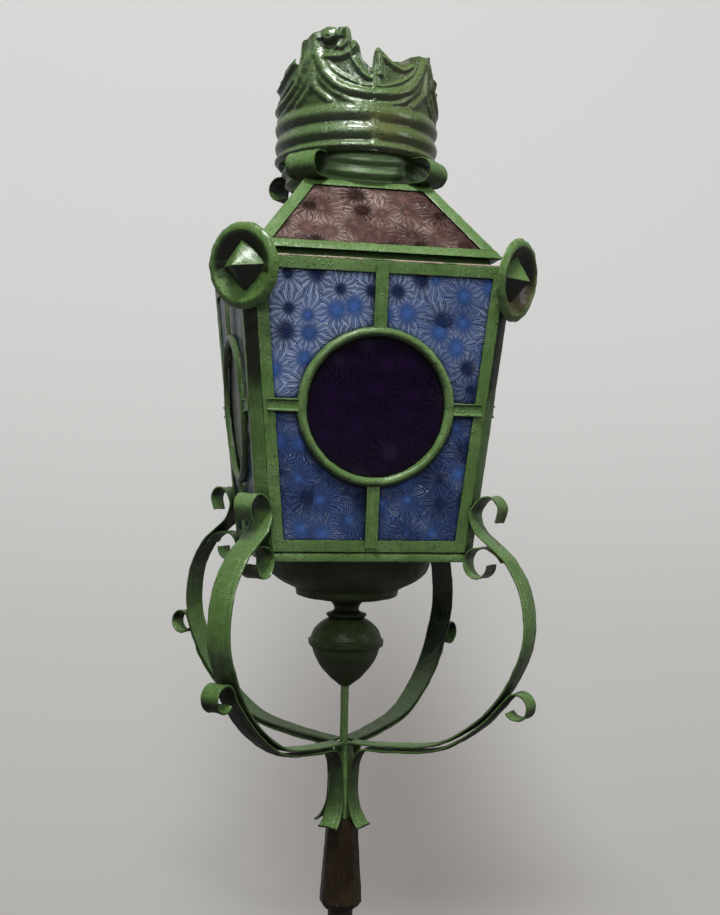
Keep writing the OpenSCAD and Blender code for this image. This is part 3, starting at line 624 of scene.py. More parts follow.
def leaf_painted_shade(n, where, tint):
    """Painted shade under a leaf strap, in its hollow and round the hub."""
    c = colours()
    height = n.split(where["Object"])[2]
    facing = n.split(where["Normal"])[2]
    # Painted shade round the hub, under the arms.
    hub = n.times(n.ramp(height, 0.15, 0.13, 0.0, 0.6), n.ramp(height, 0.078, 0.094, 0.1, 1.0))
    tint = n.blend(hub, tint, c.shade)
    # Painted shade where the leaf faces down, and on its hollow side where it does not face up.
    under = n.ramp(facing, 0.3, -0.4, 0.0, 0.85)
    hollow = n.times(n.layer("hollow_side"), n.ramp(facing, 0.35, 0.0, 0.0, 0.4))
    dirt = n.times(n.maths("MAXIMUM", under, hollow), n.ramp(height, 0.09, 0.13, 0.5, 1.0))
    return n.blend(dirt, tint, c.paint_dark)


def ledge_wear(n, where, tint):
    """Outer edge worn down to pale primer."""
    x, y = n.split(where["Object"])[:2]
    out = n.maths("MAXIMUM", n.maths("ABSOLUTE", x), n.maths("ABSOLUTE", y))
    patch = n.noise(where["Object"], 48.0, 6.0)
    worn = n.times(n.ramp(patch, 0.36, 0.5, 0.15, 0.95), n.ramp(out, 0.1105, 0.1135))
    return n.blend(worn, tint, colours().primer)


def post_shadow_and_dirt(n, where, tint):
    """Painted shadow and dirt below the front rosettes."""
    y, z = n.split(where["Object"])[1:]
    level = n.plus(z, n.times(n.noise(where["Object"], 90.0, 4.0), 0.02))
    # Painted shadow and dirt: darker below the rosettes on the front posts, with a ragged edge.
    dirt = n.times(n.ramp(level, 0.445, 0.475, 0.0, 0.95), n.ramp(y, 0.0, -0.03))
    return n.blend(dirt, tint, colours().paint_dark)


def cup_rust_dirt_and_shade(n, where, tint):
    """Brown inside one rosette, and painted shade and dirt where a cup faces down."""
    c = colours()
    tint = n.blend(n.times(n.layer("rusty"), 0.8), tint, c.rust)
    facing = n.split(where["Normal"])[2]
    # Painted shade and dirt where a marked cup or stud faces down.
    return n.blend(n.times(n.layer("cup"), n.ramp(facing, 0.2, -0.25)), tint, c.paint_dark)


def gilding(n, where, tint):
    """Old gilding in the chips of the paint."""
    patch = n.noise(where["Object"], 95.0, 6.0, 0.7)
    return n.blend(n.ramp(patch, 0.64, 0.7, 0.0, 0.75), tint, colours().ochre)


def crown_hollows(n, where, tint):
    """Painted shade in hollows and on undersides, an olive tinge to the right and a patch beside the soldered
    seam.
    """
    c = colours()
    # Painted shade in the hollows of the relief and on faces that face down.
    tint = n.blend(n.ramp(n.layer("relief_height"), 0.4, 0.0, 0.0, 0.42), tint, c.shade)
    tint = n.blend(n.ramp(n.split(where["Normal"])[2], 0.12, -0.4, 0.0, 0.6), tint, c.shade)
    tint = n.blend(n.ramp(n.split(where["Object"])[0], 0.0, 0.03, 0.0, 0.3), tint, c.solder)
    cloud = n.noise(where["Object"], 120.0, 4.0)
    away = n.add("VectorMath", {0: where["Object"], 1: SOLDER_PATCH}, operation="DISTANCE").outputs[1]
    rim = n.plus(away, n.times(cloud, 0.022))
    return n.blend(n.ramp(rim, 0.034, 0.016, 0.0, 0.6), tint, c.solder)


def star_glass(name, low, high, bright, dark, depth, sparkle, transmission, gloss, bump, rises=(0.08, 0.2),
               cloudy=0.35):
    """Pressed glass on the pane's own flat coordinates, with its ground colour low and high on the pane, the
    colours of its bright and dark stars, the depth of the dark lines and the strength of the painted glints.
    The ground is painted lighter high on the pane and to the left as painted light, changes by a cloud, and
    painted shade and dirt darken it along the frame."""
    c = colours()
    low, high, bright, dark = (getattr(c, title) for title in (low, high, bright, dark))
    n, shader = new_material(name, Transmission_Weight=transmission, IOR=1.5, Specular_IOR_Level=gloss)
    where = n.add("UVMap", uv_map="pane").outputs[0]
    stars = n.shared("star_bursts", star_burst_group, {"Vector": where, "Density": 1 / sizes().star_pitch})
    along, height = n.split(where)[:2]
    across = n.maths("SUBTRACT", along, n.maths("ROUND", along))
    cloud = n.noise(where, 24.0, 4.0)
    # Painted light: the ground is lighter high on the pane and towards its left; the cloud varies it at
    # random.
    rise = n.ramp(height, *rises)
    rise = n.plus(rise, n.times(n.ramp(across, -0.07, 0.07, 0.65, -0.5), rise))
    rise = n.maths("ADD", rise, n.ramp(cloud, 0.3, 0.7, -cloudy, cloudy), clamp=True)
    ground = n.blend(rise, low, high)
    ground = n.blend(n.times(stars["Lines"], depth), ground, dark)
    star = n.blend(n.ramp(stars["Random"], 0.56, 0.68), bright, dark)
    tint = n.blend(stars["Strokes"], ground, star)
    # Painted glints: bright colour along the edges of the strokes.
    tint = n.blend(n.times(stars["Glint"], sparkle), tint, c.glint)
    # Painted shade and dirt darken the glass along the frame.
    tint = n.blend(n.ramp(n.corner(0.01), 0.92, 0.55, 0.0, 0.85), tint, c.paint_dark)
    n.feed(tint, shader["Base Color"])
    n.feed(n.ramp(cloud, 0.3, 0.7, 0.08, 0.2), shader["Roughness"])
    n.bump(shader, bump, 0.0006, stars["Height"])


def mottled(name, base, spots, scale, detail, spread, rough, bump=None, **settings):
    """Plain finish with spots of a second colour, rougher where they are."""
    c = colours()
    n, shader = new_material(name, **settings)
    stain = n.noise(n.add("TexCoord").outputs["Object"], scale, detail)
    n.feed(n.blend(n.ramp(stain, *spread), getattr(c, base), getattr(c, spots)), shader["Base Color"])
    n.feed(n.ramp(stain, 0.3, 0.7, *rough), shader["Roughness"])
    if bump:
        n.bump(shader, *bump, stain)


def charred_cord(name):
    """Burnt cord with twisted strands."""
    c = colours()
    n, shader = new_material(name, Roughness=0.9)
    where = n.add("TexCoord").outputs["Object"]
    twist = n.add("TexWave", {"Vector": where, "Scale": 900.0, "Distortion": 2.0}).outputs["Fac"]
    n.feed(n.blend(twist, c.paint_dark, c.ferrule_light), shader["Base Color"])
    n.bump(shader, 0.5, 0.0002, twist)


def backdrop(name, shade_end):
    """Pale wall or floor, shaded low and behind the stem as far back as the shade's end, that can't be seen
    from behind. It glows a little where it is seen, and throws little light back on the lantern."""
    c = colours()
    n, shader = new_material(name, Roughness=0.9, Specular_IOR_Level=0.0)
    x, y, z = n.split(n.add("TexCoord").outputs["Object"])
    wall = n.blend(n.ramp(z, 0.66, -0.25), c.wall, c.wall_low)
    aside = n.maths("ABSOLUTE", n.maths("SUBTRACT", x, SHADE_X))
    near = n.ramp(n.maths("DIVIDE", aside, n.ramp(z, 0.25, -0.1, 0.19, 0.29)), 1.0, 0.0)
    deep = n.times(n.ramp(z, 0.42, -0.02), n.ramp(y, -0.02, 0.22), n.ramp(y, shade_end, shade_end - 0.1))
    tint = n.blend(n.times(near, deep, 0.5), wall, c.wall_shade)
    light = n.add("LightPath").outputs
    direct = n.maths("MAXIMUM", light["Is Camera Ray"], light["Is Transmission Ray"])
    seen = n.maths("MAXIMUM", direct, n.times(light["Is Glossy Ray"], 0.3))
    n.feed(n.blend(seen, (0.2, 0.2, 0.2, 1.0), tint), shader["Base Color"])
    plain = n.tree.nodes["Principled BSDF"].outputs[0]
    glow = n.add("Emission", {"Color": tint}).outputs[0]
    lit = n.add("MixShader", {0: n.times(seen, 0.75), 1: plain, 2: glow}).outputs[0]
    behind = n.add("NewGeometry").outputs["Backfacing"]
    clear = n.add("BsdfTransparent").outputs[0]
    both = n.add("MixShader", {0: behind, 1: lit, 2: clear}).outputs[0]
    n.feed(both, n.tree.nodes["Material Output"].inputs["Surface"])


# How each finish is made
FINISHES = {
    "brushed_green": (painted, {}),
    "strap_green": (painted, dict(extra=strap_shade_light_and_dirt)),
    "leaf_green": (painted, dict(extra=leaf_painted_shade, gloss=0.25, coat=0.1)),
    "ledge_worn_green": (painted, dict(extra=ledge_wear, grime=0.8)),
    "post_streaked_green": (painted, dict(extra=post_shadow_and_dirt)),
    "rosette_cup_green": (painted, dict(extra=cup_rust_dirt_and_shade, grime=0.45, gloss=0.25, coat=0.3)),
    "stem_dark_green": (painted, dict(paint="stem", light="stem_light", grime=0.65, gloss=0.25, coat=0.05)),
    "ferrule_worn_black": (painted, dict(extra=gilding, paint="ferrule", light="ferrule_light", grime=0.8,
                                         bump=1.0, gloss=0.18, coat=0.0)),
    "crown_hollow_green": (painted, dict(extra=crown_hollows, paint="crown", light="crown_light",
                                         dark="shade", grime=0.7, bump=1.0, coat=0.65)),
    # The collar's lighter green and weaker shade are painted light.
    "collar_chalky_green": (painted, dict(paint="collar", light="crown_light", dark="shade", grime=0.35,
                                          bump=0.5)),
    "blue_star_glass": (star_glass, dict(low="blue", high="blue_light", bright="blue_star", dark="navy",
                                         depth=0.8, sparkle=0.9, transmission=0.15, gloss=0.16, bump=0.9)),
    "purple_star_glass": (star_glass, dict(low="purple", high="purple", bright="purple_star",
                                           dark="purple_line", depth=0.6, sparkle=0.0, transmission=0.2,
                                           gloss=0.15, bump=0.12)),
    "brown_star_glass": (star_glass, dict(low="brown", high="brown_light", bright="brown_star",
                                          dark="brown_dark", depth=0.85, sparkle=0.9, transmission=0.15,
                                          gloss=0.25, bump=0.9, rises=(0.0, 0.13), cloudy=0.8)),
    "stained_brass": (mottled, dict(base="brass", spots="paint_dark", scale=130.0, detail=5.0,
                                    spread=(0.4, 0.65), rough=(0.3, 0.6), bump=(0.3, 0.0004), Metallic=1.0)),
    "candle_wax": (mottled, dict(base="wax", spots="ochre", scale=60.0, detail=4.0,
                                 spread=(0.35, 0.75, 0.0, 0.4), rough=(0.35, 0.5), bump=(0.2, 0.0006),
                                 Subsurface_Weight=0.2)),
    "worn_steel": (mottled, dict(base="ferrule_light", spots="ochre", scale=240.0, detail=4.0,
                                 spread=(0.45, 0.7), rough=(0.3, 0.55), Metallic=1.0)),
    "charred_cord": (charred_cord, {}),
    "floor_finish": (backdrop, dict(shade_end=WALL_Y - WALL_BEND + 0.1)),
    "wall_finish": (backdrop, dict(shade_end=WALL_Y + 1.0)),
}


def finish(name):
    """Material of a finish, made when it is first asked for."""
    if name not in bpy.data.materials:
        make, values = FINISHES[name]
        make(name, **values)
    return bpy.data.materials[name]


# Pieces

class PieceOperator:
    """What all the piece operators share"""
    bl_options = {"REGISTER", "UNDO"}


class LANTERN_OT_stage(PieceOperator, bpy.types.Operator):
    """Make the floor, the pale wall, the lights and the camera"""
    bl_idname = "lantern.stage"
    bl_label = "Stage"

    def execute(self, context):
        bm = bmesh.new()
        bmesh.ops.create_grid(bm, x_segments=1, y_segments=1, size=STAGE_REACH,
                              matrix=Matrix.Translation((0, 0, FLOOR_Z)))
        mesh_object(bm, "pale_floor", finish("floor_finish"))
        self.wall()
        self.lights(context)
        self.camera(context)
        context.scene.view_settings.view_transform = "Standard"
        return {"FINISHED"}

    def wall(self):
        centre = Vector((WALL_Y - WALL_BEND, FLOOR_Z + 0.0004 + WALL_BEND))
        bend = [math.radians(a) for a in range(0, 91, 6)]
        path = [centre + WALL_BEND * Vector((math.sin(a), -math.cos(a))) for a in bend]
        path.append(Vector((WALL_Y, WALL_TOP)))
        bm = bmesh.new()
        edges = [bm.edges.new([bm.verts.new((x, *path[0])) for x in (-STAGE_REACH, STAGE_REACH)])]
        for a, b in zip(path, path[1:]):
            made = bmesh.ops.extrude_edge_only(bm, edges=edges)["geom"]
            bmesh.ops.translate(bm, vec=(0, *(b - a)), verts=made_verts(made))
            edges = [e for e in made if isinstance(e, bmesh.types.BMEdge) and all(v in made for v in e.verts)]
        bm.normal_update()
        if bm.faces[:][-1].normal.y > 0:
            bmesh.ops.reverse_faces(bm, faces=bm.faces)
        mesh_object(bm, "pale_wall", finish("wall_finish"))

    def lights(self, context):
        """Make the lamps, and a room that is dim as a light and pale where it is seen."""
        room = bpy.data.worlds.new("room")
        room.use_nodes = True
        n = Nodes(room.node_tree)
        light = n.add("LightPath").outputs
        seen = n.maths("MAXIMUM", light["Is Camera Ray"], light["Is Transmission Ray"])
        dim = (0.0651, 0.0672, 0.07, 1.0)
        n.feed(n.blend(seen, dim, colours().wall), n.tree.nodes["Background"].inputs["Color"])
        context.scene.world = room
        for name, power, width, height, at, aim_z in (
                ("ceiling_light", 22.8, 0.5, 0.3, (-0.22, -0.85, 1.9), 0.42),
                ("front_light", 8.0, 0.5, 0.4, (-0.4, -1.6, 1.3), 0.5),
                ("window_light", 1.6, 0.8, 1.0, (-1.1, -1.2, 1.0), 0.42),
                ("side_light", 4.2, 0.4, 1.0, (1.3, -0.8, 1.0), 0.45),
                ("rear_light", 4.0, 0.6, 0.6, (0.5, 1.6, 1.2), 0.42)):
            lamp = bpy.data.lights.new(name, "AREA")
            lamp.energy, lamp.shape, lamp.size, lamp.size_y = power, "RECTANGLE", width, height
            obj = bpy.data.objects.new(name, lamp)
            obj.location = at
            obj.rotation_euler = (Vector((0.0, 0.0, aim_z)) - Vector(at)).to_track_quat("-Z", "Y").to_euler()
            context.scene.collection.objects.link(obj)

    def camera(self, context):
        """Make the camera, with its focal length and shift measured in pixels of the picture."""
        tall, focal, shift_x, shift_y = 915, 1178.777, 9.65, -35.288
        film, away, level = 36.0, 1.059525, 0.393988
        turn, pitch, roll = (math.radians(a) for a in (-11.726, 1.932, 1.192))
        ahead = Vector((-math.sin(turn) * math.cos(pitch), math.cos(turn) * math.cos(pitch), math.sin(pitch)))
        right = Vector((math.cos(turn), math.sin(turn), 0))
        up = right.cross(ahead)
        across = right * math.cos(roll) + up * math.sin(roll)
        rise = up * math.cos(roll) - right * math.sin(roll)
        stand = Vector((math.sin(turn) * away, -math.cos(turn) * away, level))
        lens = bpy.data.cameras.new("photo_camera")
        lens.sensor_fit, lens.sensor_width, lens.lens = "AUTO", film, focal * film / tall
        lens.shift_x, lens.shift_y = shift_x / tall, shift_y / tall
        camera = bpy.data.objects.new("photo_camera", lens)
        turned = Matrix((across, rise, -ahead)).transposed().to_4x4()
        camera.matrix_world = Matrix.Translation(stand) @ turned
        context.scene.collection.objects.link(camera)
        context.scene.camera = camera


class LANTERN_OT_pole_end(PieceOperator, bpy.types.Operator):
    """Make the octagonal ferrule and the square hub core"""
    bl_idname = "lantern.pole_end"
    bl_label = "Pole End"

    def execute(self, context):
        self.ferrule()
        self.hub_bar()
        return {"FINISHED"}

    def ferrule(self):
        shaft, wide, narrow, shoulder = 11, 18, 13, 6
        # Stations of height, half width, and roundness from an octagon to a circle
        stations = [(-60, shaft * 0.94, 1), (-59, shaft, 1)] + [(z, shaft, 1) for z in range(-50, 0, 10)]
        stations += [(-0.3, shaft, 1), (0, 12.6, 0.2), (0.4, 13.2, 0)]
        stations += [(z, mix(13.4, wide, z / shoulder), 0) for z in (1.5, 3, 4.5, 5.5)]
        stations += [(z, mix(wide, narrow, (z - shoulder) / (FERRULE_TOP - shoulder)), 0)
                     for z in (6.4, 7.5, *range(9, FERRULE_TOP, 2))]
        stations += [(79.6, 12.9, 0), (FERRULE_TOP, 12.3, 0)]
        rings = []
        for z, half, roundness in stations:
            ring = []
            for k in range(48):
                a = math.radians(7.5 * k)
                flat = (a + math.pi / 8) % (math.pi / 4) - math.pi / 8
                far = half * mix(min(1 / math.cos(flat), 1.066), 1, roundness)
                ring.append(Vector((far * math.cos(a), far * math.sin(a), z)))
            rings.append(ring)
        bm = bmesh.new()
        loft(bm, rings)
        piece(bm, "ferrule_octagon", "lantern", "ferrule_worn_black", "pole_ferrule",
              (0.45, 9, 2))

    def hub_bar(self):
        low, taper, wide, narrow = FERRULE_TOP + GAP, 115.75, 9.7, 5.34
        rings = []
        for z in (low, 80.6, *range(83, 116, 3), 115.7, *range(118, HUB, 3), 144.5, HUB):
            half = wide if z < taper else mix(wide, narrow, (z - taper) / (HUB - taper))
            half -= 0.4 if z in (low, HUB) else 0
            rings.append(lifted(rounded(square(half), 1.2), z, turn_z(45)))
        bm = bmesh.new()
        loft(bm, rings)
        piece(bm, "hub_bar", "lantern", "brushed_green", "hub_core", (0.35, 7, 5))


ARM_SEAT = Vector((post_reach(350) + 1.7, 350))
# Bow of an arm, as shares of its height from the hub and distances in from its reach
ARM_BOW = [(0.82, 17), (0.72, 5), (0.6, 0), (0.5, 1), (0.41, 7.5), (0.29, 21)]
ARM_WIDTHS = [(0, 16), (0.12, 22.5), (0.5, 23), (1, 14)]
LEAF_WIDTHS = [(0, 15.2), (0.3, 19), (0.62, 14), (0.85, 14), (1, 19)]
STRAP_GRAIN = 8
PATH_PITCH = 2.2


def on_arm(share, back):
    return Vector((ARM_REACH - back, mix(ARM_END, ARM_SEAT[1], share)))


def under_bow(share):
    """Point of a leaf strap under its arm's bow, with the direction away from the arm."""
    shares, backs = zip(*reversed(ARM_BOW[2:]))
    turn = math.radians(np.interp(share, shares, [-29, -17, -6, 3]))
    off = Vector((math.cos(turn), math.sin(turn)))
    return on_arm(share, np.interp(share, shares, backs)) + 4.5 * off, off


class LANTERN_OT_arms(PieceOperator, bpy.types.Operator):
    """Make the scrolled arms, the leaves under them and the small corner scrolls"""
    bl_idname = "lantern.arms"
    bl_label = "Arms"

    def execute(self, context):
        s = sizes()
        section = strap_section(2, mm(s.strap_hollow), mm(s.strap_flute))
        run = [Vector((ARM_REACH * r, mix(ARM_END, ARM_SEAT[1], z))) for r, z in
               ((0.75, 0.168), (0.54, 0.056), (0.28, 0.015))]
        arm = [ARM_SEAT + Vector(p) for p in ((22, -4), (25, 8), (19, 16.5), (9.5, 16), (2, 8), (0, 0),
                                              (5, -12), (15, -20.5), (25.5, -28.5))]
        arm += [on_arm(share, back) for share, back in ARM_BOW]
        arm = evenly(curve_through(arm + run + [Vector((8, ARM_END))], 8), PATH_PITCH)
        for corner, name in enumerate(CORNERS):
            bm = bmesh.new()
            strap(bm, arm, ARM_WIDTHS, section, corner_place(corner))
            piece(bm, "strap_arm_" + name, "lantern", "strap_green", "arm_" + name,
                  (mm(s.paint_lump), STRAP_GRAIN, corner))
        for corner, name in enumerate(CORNERS):
            bm = bmesh.new()
            strap(bm, self.leaf(corner, run), LEAF_WIDTHS, section, corner_place(corner))
            piece(bm, "strap_leaf_" + name, "lantern", "leaf_green", "leaf_" + name,
                  (mm(s.paint_lump), STRAP_GRAIN, corner + 10))
        self.corner_scrolls()
        return {"FINISHED"}

    def leaf(self, corner, run):
        """Path of a leaf: a curl that starts lower or higher up the bow at each corner, the run under the
        arm, and the bend along the hub core to the flared tip."""
        steps = (0, 2, 3, 1)[corner]
        lowest, step, curl_r, core = ARM_BOW[-1][0], 11, 10.5, 10.9
        shares = [lowest + k * step / (ARM_SEAT[1] - ARM_END) for k in range(steps, -1, -1)]
        start, off = under_bow(shares[0])
        up = Vector((-off[1], off[0]))
        turns = [math.radians(a) for a in range(298, 25, -16)]
        path = [start + curl_r * ((1 - math.cos(a)) * off + math.sin(a) * up) for a in turns]
        path += [under_bow(share)[0] for share in shares]
        path += [p + Vector((1.5, -4.5)) for p in run]
        path += [(core + 14, HUB - 2.6), (core + 6.5, HUB - 7.5), (core + 1.6, HUB - 18), (core, HUB - 32.5),
                 (core, 102), (core + 1.2, 92), (15.6, 83), (20, 76.5), (23.5, 74.5)]
        return evenly(curve_through(path, 8), PATH_PITCH)

    def corner_scrolls(self):
        seat = Vector((post_reach(BASE) + 1.35, BASE + 3))
        root = ARM_SEAT + Vector((23.2, -29.8))
        bow = seat + Vector((10.5, 9.5))
        path = [ARM_SEAT + Vector((28.5, -36)), root, root.lerp(bow, 0.5) + Vector((0, 2.4)), bow]
        path += [seat + Vector(p) for p in ((3.6, 6.6), (0, 0), (0.3, -7), (3.6, -13), (9.5, -15.6),
                                            (15.5, -14.4), (19.8, -10), (21.2, -4))]
        path = evenly(curve_through(path, 8), 1.6)
        section = strap_section(1.5, 0.5, 0.4)
        bm = bmesh.new()
        for corner in range(4):
            strap(bm, path, [(0, 18)], section, corner_place(corner))
        piece(bm, "strap_corner_scrolls", "lantern", "strap_green", "corner_scrolls",
              (mm(sizes().paint_lump), 7, 20))


class LANTERN_OT_stem(PieceOperator, bpy.types.Operator):
    """Make the rod, the turned knob and neck, and the spun bowl"""
    bl_idname = "lantern.stem"
    bl_label = "Stem"

    def turned(self, name, node, level, profile, wall=None):
        """Turn a piece round the rod from its outer profile above a level, solid or with a thin wall."""
        bore = 3.8
        outer = curve_through(profile, 6)
        if wall:
            inner = [Vector((p[0] - wall, max(p[1], wall))) for p in reversed(outer)]
            outline = [(bore, 0)] + outer + inner + [(bore, wall)]
        else:
            outline = [(bore, outer[0][1])] + outer + [(bore, outer[-1][1])]
        bm = bmesh.new()
        lathe(bm, [(p[0], p[1] + level) for p in outline], 112, loop=True)
        piece(bm, name, "lantern", "stem_dark_green", node, (0.4, 11, level))

    def execute(self, context):
        rod_r, rod_low, rod_top = 3.6, 125, 323.5
        bm = bmesh.new()
        lathe(bm, [(0, rod_low), (rod_r, rod_low)] + [(rod_r, z) for z in range(127, 322, 3)]
              + [(rod_r, rod_top), (0, rod_top)], 24)
        piece(bm, "stem_rod", "lantern", "brushed_green", "tie_rod", (0.3, 6, 1))
        r, low, high = 33.5, KNOB_MID - KNOB, NECK - KNOB_MID
        self.turned("knob_cup", "knob_lower", KNOB, [
            (4.8, 0), (r * 0.45, low * 0.22), (r * 0.68, low * 0.45), (r * 0.83, low * 0.67),
            (r * 0.9, low * 0.86), (r * 0.98, low * 0.92), (r, low - GAP)])
        self.turned("knob_cap", "knob_upper", KNOB_MID, [
            (r, 0), (r, 2), (r * 0.95, 3.2), (r * 0.86, high * 0.5), (r * 0.65, high * 0.84),
            (r * 0.47, high - GAP)])
        r, flange, tall = 11.2, 18, BOWL - NECK
        self.turned("neck_spool", "neck_collar", NECK, [
            (flange * 0.86, 0), (flange, tall * 0.19), (r * 1.1, tall * 0.34), (r, tall * 0.55),
            (r * 1.35, tall * 0.82), (r * 2.1, tall * 0.95), (r * 2.1, tall - GAP)])
        ring, rim = 46, 76
        self.turned("bowl_shell", "bowl", BOWL, [
            (ring * 0.8, 0), (ring * 0.97, 2.6), (ring, 8.2), (mix(ring, rim, 0.14), 10.6),
            (mix(ring, rim, 0.45), 15), (mix(ring, rim, 0.8), 23.4), (rim, BASE - BOWL)], wall=1.4)
        return {"FINISHED"}


def side_corners(low, high, inset):
    """Corners of a side's outline between two levels up its slope, set in from the posts."""
    near, far = face_half(low) - inset, face_half(high) - inset
    return [Vector((near, low)), Vector((far, high)), Vector((-far, high)), Vector((-near, low))]


class LANTERN_OT_body_frame(PieceOperator, bpy.types.Operator):
    """Make the base tray, the corner posts, the side frames and the top ledge"""
    bl_idname = "lantern.body_frame"
    bl_label = "Body Frame"

    def execute(self, context):
        edge, lump = mm(sizes().edge_round), mm(sizes().paint_lump)
        self.tray(edge, lump)
        self.posts(edge, lump)
        for side, name in enumerate(SIDES):
            self.side_frame(side, name, lump)
        self.ledge(edge, lump)
        return {"FINISHED"}

    def tray(self, edge, lump):
        low, bore, inner = BASE + GAP, 4, BASE_HALF - SHEET
        profile = rounded([(bore, low), (BASE_HALF, low), (BASE_HALF, TRAY_TOP - 1.6),
                           (BASE_HALF - 1.1, TRAY_TOP), (inner, TRAY_TOP), (inner, low + SHEET),
                           (bore, low + SHEET)], edge)
        rings = square_rings(profile, CORNER_CUT, 60)
        for p in (p for ring in rings for p in ring):
            if max(abs(p.x), abs(p.y)) < 10:
                p.x, p.y = p.xy.normalized() * bore
        bm = bmesh.new()
        loft(bm, rings, closed=True)
        piece(bm, "tray_rim", "lantern", "brushed_green", "base_tray", (lump, 8, 30))

    def posts(self, edge, lump):
        bm = bmesh.new()
        depth = SHEET * math.sqrt(2) + GAP
        for corner in range(4):
            rings = []
            for k in range(81):
                z = FRAME_LOW + (BODY_TOP - GAP - FRAME_LOW) * k / 80
                d = side_half(z)
                w = d - CORNER_CUT + GAP
                outline = rounded([(w, d - GAP), (w, d - depth), (d - depth, w), (d - GAP, w)], edge)
                rings.append(lifted(outline, z, turn_z(90 * corner - 90)))
            loft(bm, rings)
        piece(bm, "post_strips", "lantern", "post_streaked_green", "corner_posts",
              (lump, 8, 32))

    def side_frame(self, side, name, lump):
        outer = side_corners(SIDE_LOW, SIDE_HIGH, 0)
        inner = side_corners(SIDE_LOW + STRIP_W, SIDE_HIGH - STRIP_W, STRIP_W)
        # Section of the strips, as share of the way inwards and height
        section = rounded([(0, 0), (0, -SHEET), (1, -SHEET), (1, 0)], 0.09)
        place = side_place(side)
        corners = [[place @ Vector((*mix(o, i, share), height)) for share, height in section]
                   for o, i in zip(outer, inner)]
        bm = bmesh.new()
        loft(bm, bridged(corners, [66, 56]), closed=True)
        piece(bm, "frame_strips_" + name, "lantern", "brushed_green", "side_frame_" + name,
              (lump, 8, 33 + side))

    def ledge(self, edge, lump):
        inner, outer, low, high = 96, 97.5, LEDGE - 0.2, EAVE - 0.3
        plate = rounded([(TOP_HALF, BODY_TOP), (TOP_HALF, LEDGE), (inner, LEDGE), (inner, BODY_TOP)], edge)
        upstand = rounded([(outer, low), (outer, high), (inner, high), (inner, low)], edge)
        bm = bmesh.new()
        loft(bm, square_rings(plate, CORNER_CUT, 70), closed=True)
        loft(bm, square_rings(upstand, 2.5, 70), closed=True)
        piece(bm, "ledge_upstand", "lantern", "ledge_worn_green", "top_ledge",
              (lump * 0.7, 8, 31))


class LANTERN_OT_glazing(PieceOperator, bpy.types.Operator):
    """Make the blue panes, the dark discs, the round cames and the cross bars"""
    bl_idname = "lantern.glazing"
    bl_label = "Glazing"

    def execute(self, context):
        for side, name in enumerate(SIDES):
            place = side_place(side)
            bm = bmesh.new()
            for across, rise in ((1, 1), (-1, 1), (-1, -1), (1, -1)):
                pane(bm, self.corner_pane(across, rise), place, side)
            glass_piece(bm, "panes_" + name, "lantern", "blue_star_glass", "blue_glass_" + name)
            bm = bmesh.new()
            turns = [math.tau * k / 96 for k in range(96)]
            pane(bm, [(DISC_R * math.cos(a), RING_LEVEL + DISC_R * math.sin(a)) for a in turns], place, side)
            glass_piece(bm, "disc_" + name, "lantern", "purple_star_glass",
                        "purple_disc_" + name)
            self.came(side, name, place)
            self.bars(side, name, place)
        return {"FINISHED"}

    def corner_pane(self, across, rise):
        """Outline of the pane between the disc and a corner of the side."""
        gap = 0.5
        arc_r = RING_MID + gap
        start = math.asin(gap / arc_r)
        arc = [start + (math.pi / 2 - 2 * start) * k / 24 for k in range(25)]
        mid = RING_LEVEL + rise * gap
        end = SIDE_HIGH - PANE_EDGE if rise > 0 else SIDE_LOW + PANE_EDGE
        outline = [(across * arc_r * math.cos(a), RING_LEVEL + rise * arc_r * math.sin(a)) for a in arc]
        return outline + [(across * gap, end), (across * (face_half(end) - PANE_EDGE), end),
                          (across * (face_half(mid) - PANE_EDGE), mid)]

    def came(self, side, name, place):
        half = 4
        arc = [math.radians(a) for a in range(-22, 203, 15)]
        bm = bmesh.new()
        lathe(bm, [(RING_MID + half * math.cos(a), half * math.sin(a)) for a in arc], 180, loop=True)
        bmesh.ops.transform(bm, matrix=place @ Matrix.Translation((0, RING_LEVEL, 0)), verts=bm.verts)
        piece(bm, "came_ring_" + name, "lantern", "brushed_green", "round_came_" + name,
              (0.5, 9, 40 + side))

    def bars(self, side, name, place):
        half, lip, top, bed, lap, start = 5.25, 1.4, GAP + 2.4, GAP + 1.2, 6, 64.6
        section = rounded([(-half, GAP), (half, GAP), (half, top), (half - lip, top), (half - lip - 0.5, bed),
                           (-half + lip + 0.5, bed), (-half + lip, top), (-half, top)], 0.6)
        across = face_half(RING_LEVEL) - STRIP_W + lap
        bm = bmesh.new()
        for turn, end in ((0, SIDE_HIGH - STRIP_W + lap - RING_LEVEL),
                          (180, RING_LEVEL - SIDE_LOW - STRIP_W + lap), (90, across), (-90, across)):
            to = place @ Matrix.Translation((0, RING_LEVEL, 0)) @ turn_z(turn)
            loft(bm, [[to @ Vector((p[0], mix(start, end, k / 24), p[1])) for p in section]
                      for k in range(25)])
        piece(bm, "bar_channels_" + name, "lantern", "brushed_green", "cross_bars_" + name,
              (0.3, 6, 50 + side))


